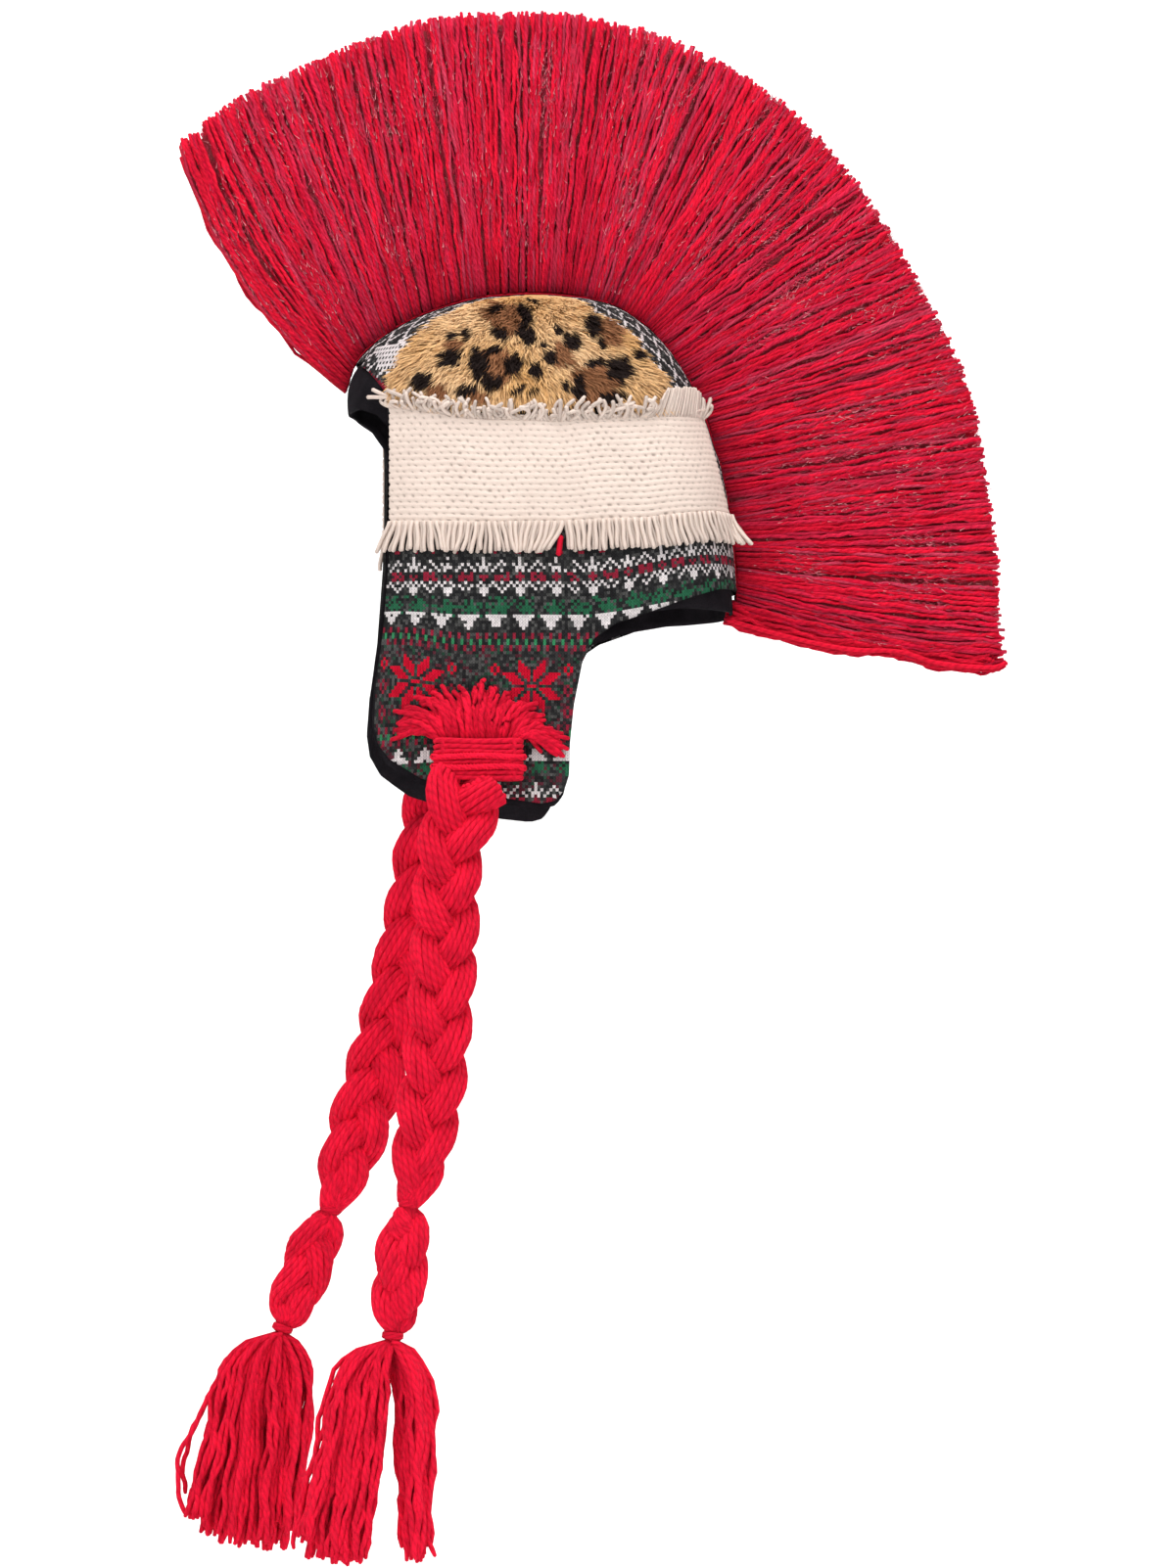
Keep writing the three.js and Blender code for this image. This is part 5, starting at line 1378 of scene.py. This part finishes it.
def crest_fuzz():
    """Short stray fibres lying on both faces of the fan, most of them in patches."""
    rng = np.random.default_rng(SEED["crest_fuzz"])
    clumps, each, lone = 100, 210, 5000
    n = clumps * each + lone
    spread = rng.uniform(2.0, 6.5, (clumps, 1))
    travel = rng.uniform(0, FAN_TRAVEL[-1], (clumps, 1)) + spread * rng.normal(0, 1, (clumps, each))
    far = rng.uniform(0.2, 0.97, (clumps, 1))
    far = far + rng.uniform(0.05, 0.16, (clumps, 1)) * rng.normal(0, 1, (clumps, each))
    travel = np.concatenate([travel.ravel(), rng.uniform(0, FAN_TRAVEL[-1], lone)])
    at = np.interp(travel, FAN_TRAVEL, FAN_AT)
    reach = np.clip(np.concatenate([far.ravel(), 0.06 + 0.92 * rng.uniform(0, 1, lone) ** 0.7]), 0.05, 0.975)
    face = np.where(rng.uniform(0, 1, n) < 0.5, -1.0, 1.0)
    root = crest_spot(at, reach)
    tip = crest_spot(np.clip(at + rng.normal(0, 0.04, n), 0, LAST_ROW), np.minimum(reach + 0.03, 1))
    along = unit(tip - root)
    long = rng.uniform(1.5, 5.0, (n, 1))
    depth = rng.uniform(0.9, 1.08, n) * mix(CREST_ROOT_HALF - 2, CREST_TIP_HALF - 1, reach)
    start = np.concatenate([(face * depth)[:, None], root], 1)
    end = np.concatenate([(face * (depth + rng.uniform(-0.8, 0.7, n)))[:, None], root + along * long], 1)
    end = end + rng.normal(0, 0.5, (n, 3)) * (0.2, 1, 1)
    side = np.concatenate([np.zeros((n, 1)), -along[:, 1:], along[:, :1]], 1) * rng.uniform(0.14, 0.3, (n, 1))
    points = np.stack([start - side, start + side, end], 1).reshape(-1, 3)
    faces = np.arange(3 * n).reshape(-1, 3)
    colours = np.array([(0.50, 0.02, 0.05), (0.30, 0.035, 0.06), (0.50, 0.15, 0.17)])
    choice = colours[rng.choice(3, n, p=(0.4, 0.42, 0.18))]
    tint = np.repeat(choice * rng.uniform(0.7, 1.2, (n, 1)), 3, axis=0)
    mesh_object("crest_fuzz", points, [faces], fur_hair, tint=tint)


def crest_web():
    """Teased strips of faded wool between the yarns, tinted dark maroon: partly the wool's own colour, partly
    painted shade in the gaps between the yarns.
    """
    rng = np.random.default_rng(SEED["crest_web"])
    rings, across, count = 15, 4, 190
    centre = (np.arange(count) + rng.uniform(0, 1, count)) / count * FAN_TRAVEL[-1]
    at0 = np.interp(centre, FAN_TRAVEL, FAN_AT)
    t = np.linspace(0, 1, rings)
    stop = rng.uniform(0.9, 0.97, (count, 1))
    reach = 0.02 + (stop - 0.02) * t[None]
    all_points, all_faces, all_tint = [], [], []
    base = 0
    for face in (-1, 1):
        wide = rng.uniform(0.09, 0.17, (count, 1))
        depth = face * rng.uniform(0.52, 0.64, (count, 1))
        offsets = np.linspace(-1, 1, across)[None, None]
        ragged = 1 + 0.25 * np.sin(t[None, :, None] * 17 + rng.uniform(0, TAU, (count, 1, 1)) + offsets * 2)
        at = np.clip(at0[:, None, None] + offsets * wide[:, :, None] * ragged, 0, LAST_ROW)
        reach_all = np.broadcast_to(reach[:, :, None], at.shape)
        flat = crest_spot(slit(at, reach_all), reach_all)
        half = mix(CREST_ROOT_HALF - 2.5, CREST_TIP_HALF - 2.0, t)[None, :, None]
        ripple = 0.5 * np.sin(t[None, :, None] * 30 + offsets * 9 + depth[:, :, None] * 90)
        bend = 0.9 * (1 - offsets ** 2) * face + ripple
        x = depth[:, :, None] * half + bend
        points = np.concatenate([np.broadcast_to(x, at.shape)[..., None], flat], -1)
        faces = grid_faces(rings, across)
        faces = faces if face > 0 else faces[:, ::-1]
        index = base + np.arange(count)[:, None, None] * (rings * across) + faces[None]
        # The strips' dark maroon tint is partly painted shade between the yarns; the per-strip factor is random
        # tone.
        shade = rng.uniform(0.8, 1.15, (count, 1, 1, 1)) * np.array([0.42, 0.02, 0.045])
        all_points.append(points.reshape(-1, 3))
        all_faces.append(index.reshape(-1, 4))
        all_tint.append(np.broadcast_to(shade, (count, rings, across, 3)).reshape(-1, 3))
        base += count * rings * across
    mesh_object("crest_web", np.concatenate(all_points), [np.concatenate(all_faces)], teased,
                tint=np.concatenate(all_tint))


def crest_tape():
    """Sewn tape that the crest stands on."""
    turns = even_turns((-119, -47), (97, -168), 3.0)
    half = CREST_ROOT_HALF - 2.2
    x = np.linspace(-half, half, 12)
    bow = 0.6 + 1.0 * np.sqrt(np.clip(1 - (x / half) ** 2, 0, 1))
    top = profile_rays(x[None], turns[:, None], CLEAR + bow[None])
    low = profile_rays(x[None], turns[:, None], CLEAR)
    points, quads = shell(top.reshape(-1, 3), low.reshape(-1, 3), grid_faces(*top.shape[:2]), whole=True)
    tint = np.full((len(points), 3), 0.62)
    uv = np.zeros((len(quads) * 4, 2))
    mesh_object("crest_tape", points, [quads], yarn_crest, uv=[uv], tint=tint)


crest_tape()
crest_web()
layers = {name: crest_yarns(name, **CREST_LAYERS[name]) for name in ("inner", "dull", "outer")}
crest_fuzz()
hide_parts("crest")


# Stage
def stage():
    """White paper floor and wall. The wall is clear from behind, so that no view of the hat is shut off."""
    paper = Nodes("white_paper", Roughness=0.9, Specular_IOR_Level=0.1)
    paper.colour(paper.blended((0.93, 0.93, 0.93), (0.95, 0.95, 0.95), paper.noise(3, 2, 0.5)))
    one_way = paper.node("MixShader", {
        0: paper.node("NewGeometry").outputs["Backfacing"],
        1: paper.node("BsdfTransparent").outputs[0],
        2: paper.shader.outputs[0],
    })
    paper.tree.links.new(one_way.outputs[0], paper.tree.nodes["Material Output"].inputs["Surface"])
    floor_z, radius, back = -0.78, 0.7, -0.9
    profile = [(6.0, floor_z), (back + 0.2, floor_z)]
    profile += [(back - radius * math.sin(a), floor_z + radius * (1 - math.cos(a)))
                for a in np.linspace(0, math.pi / 2, 14)]
    profile += [(back - radius, 3.5)]
    points = np.array([(x, y, z) for x, z in profile for y in (-5.0, 5.0)]) / MM
    faces = grid_faces(len(profile), 2)
    mesh = bpy.data.meshes.new("backdrop")
    mesh.from_pydata([tuple(p * MM) for p in points], [], [tuple(int(i) for i in f) for f in faces])
    mesh.materials.append(paper.material)
    mesh.polygons.foreach_set("use_smooth", np.ones(len(faces), bool))
    floor = bpy.data.objects.new("backdrop", mesh)
    SCENE.collection.objects.link(floor)


def area_light(name, at, target, size, power):
    data = bpy.data.lights.new(name, "AREA")
    data.shape, data.size, data.energy = "SQUARE", size, power
    lamp = bpy.data.objects.new(name, data)
    lamp.location = at
    lamp.rotation_mode = "QUATERNION"
    lamp.rotation_quaternion = (Vector(target) - Vector(at)).to_track_quat("-Z", "Y")
    SCENE.collection.objects.link(lamp)


stage()
area_light("key", (2.2, -1.6, 1.1), (0, 0, -0.2), 1.6, 30)
area_light("fill", (2.4, 1.9, 0.3), (0, 0, -0.2), 1.8, 17)
area_light("backdrop_light", (0.6, 0.0, 2.2), (-1.6, 0, 0.0), 2.5, 95)
world = bpy.data.worlds.new("studio")
world.use_nodes = True
world.node_tree.nodes["Background"].inputs["Color"].default_value = (1, 1, 1, 1)
world.node_tree.nodes["Background"].inputs["Strength"].default_value = 0.46
SCENE.world = world
SCENE.view_settings.view_transform = "Standard"
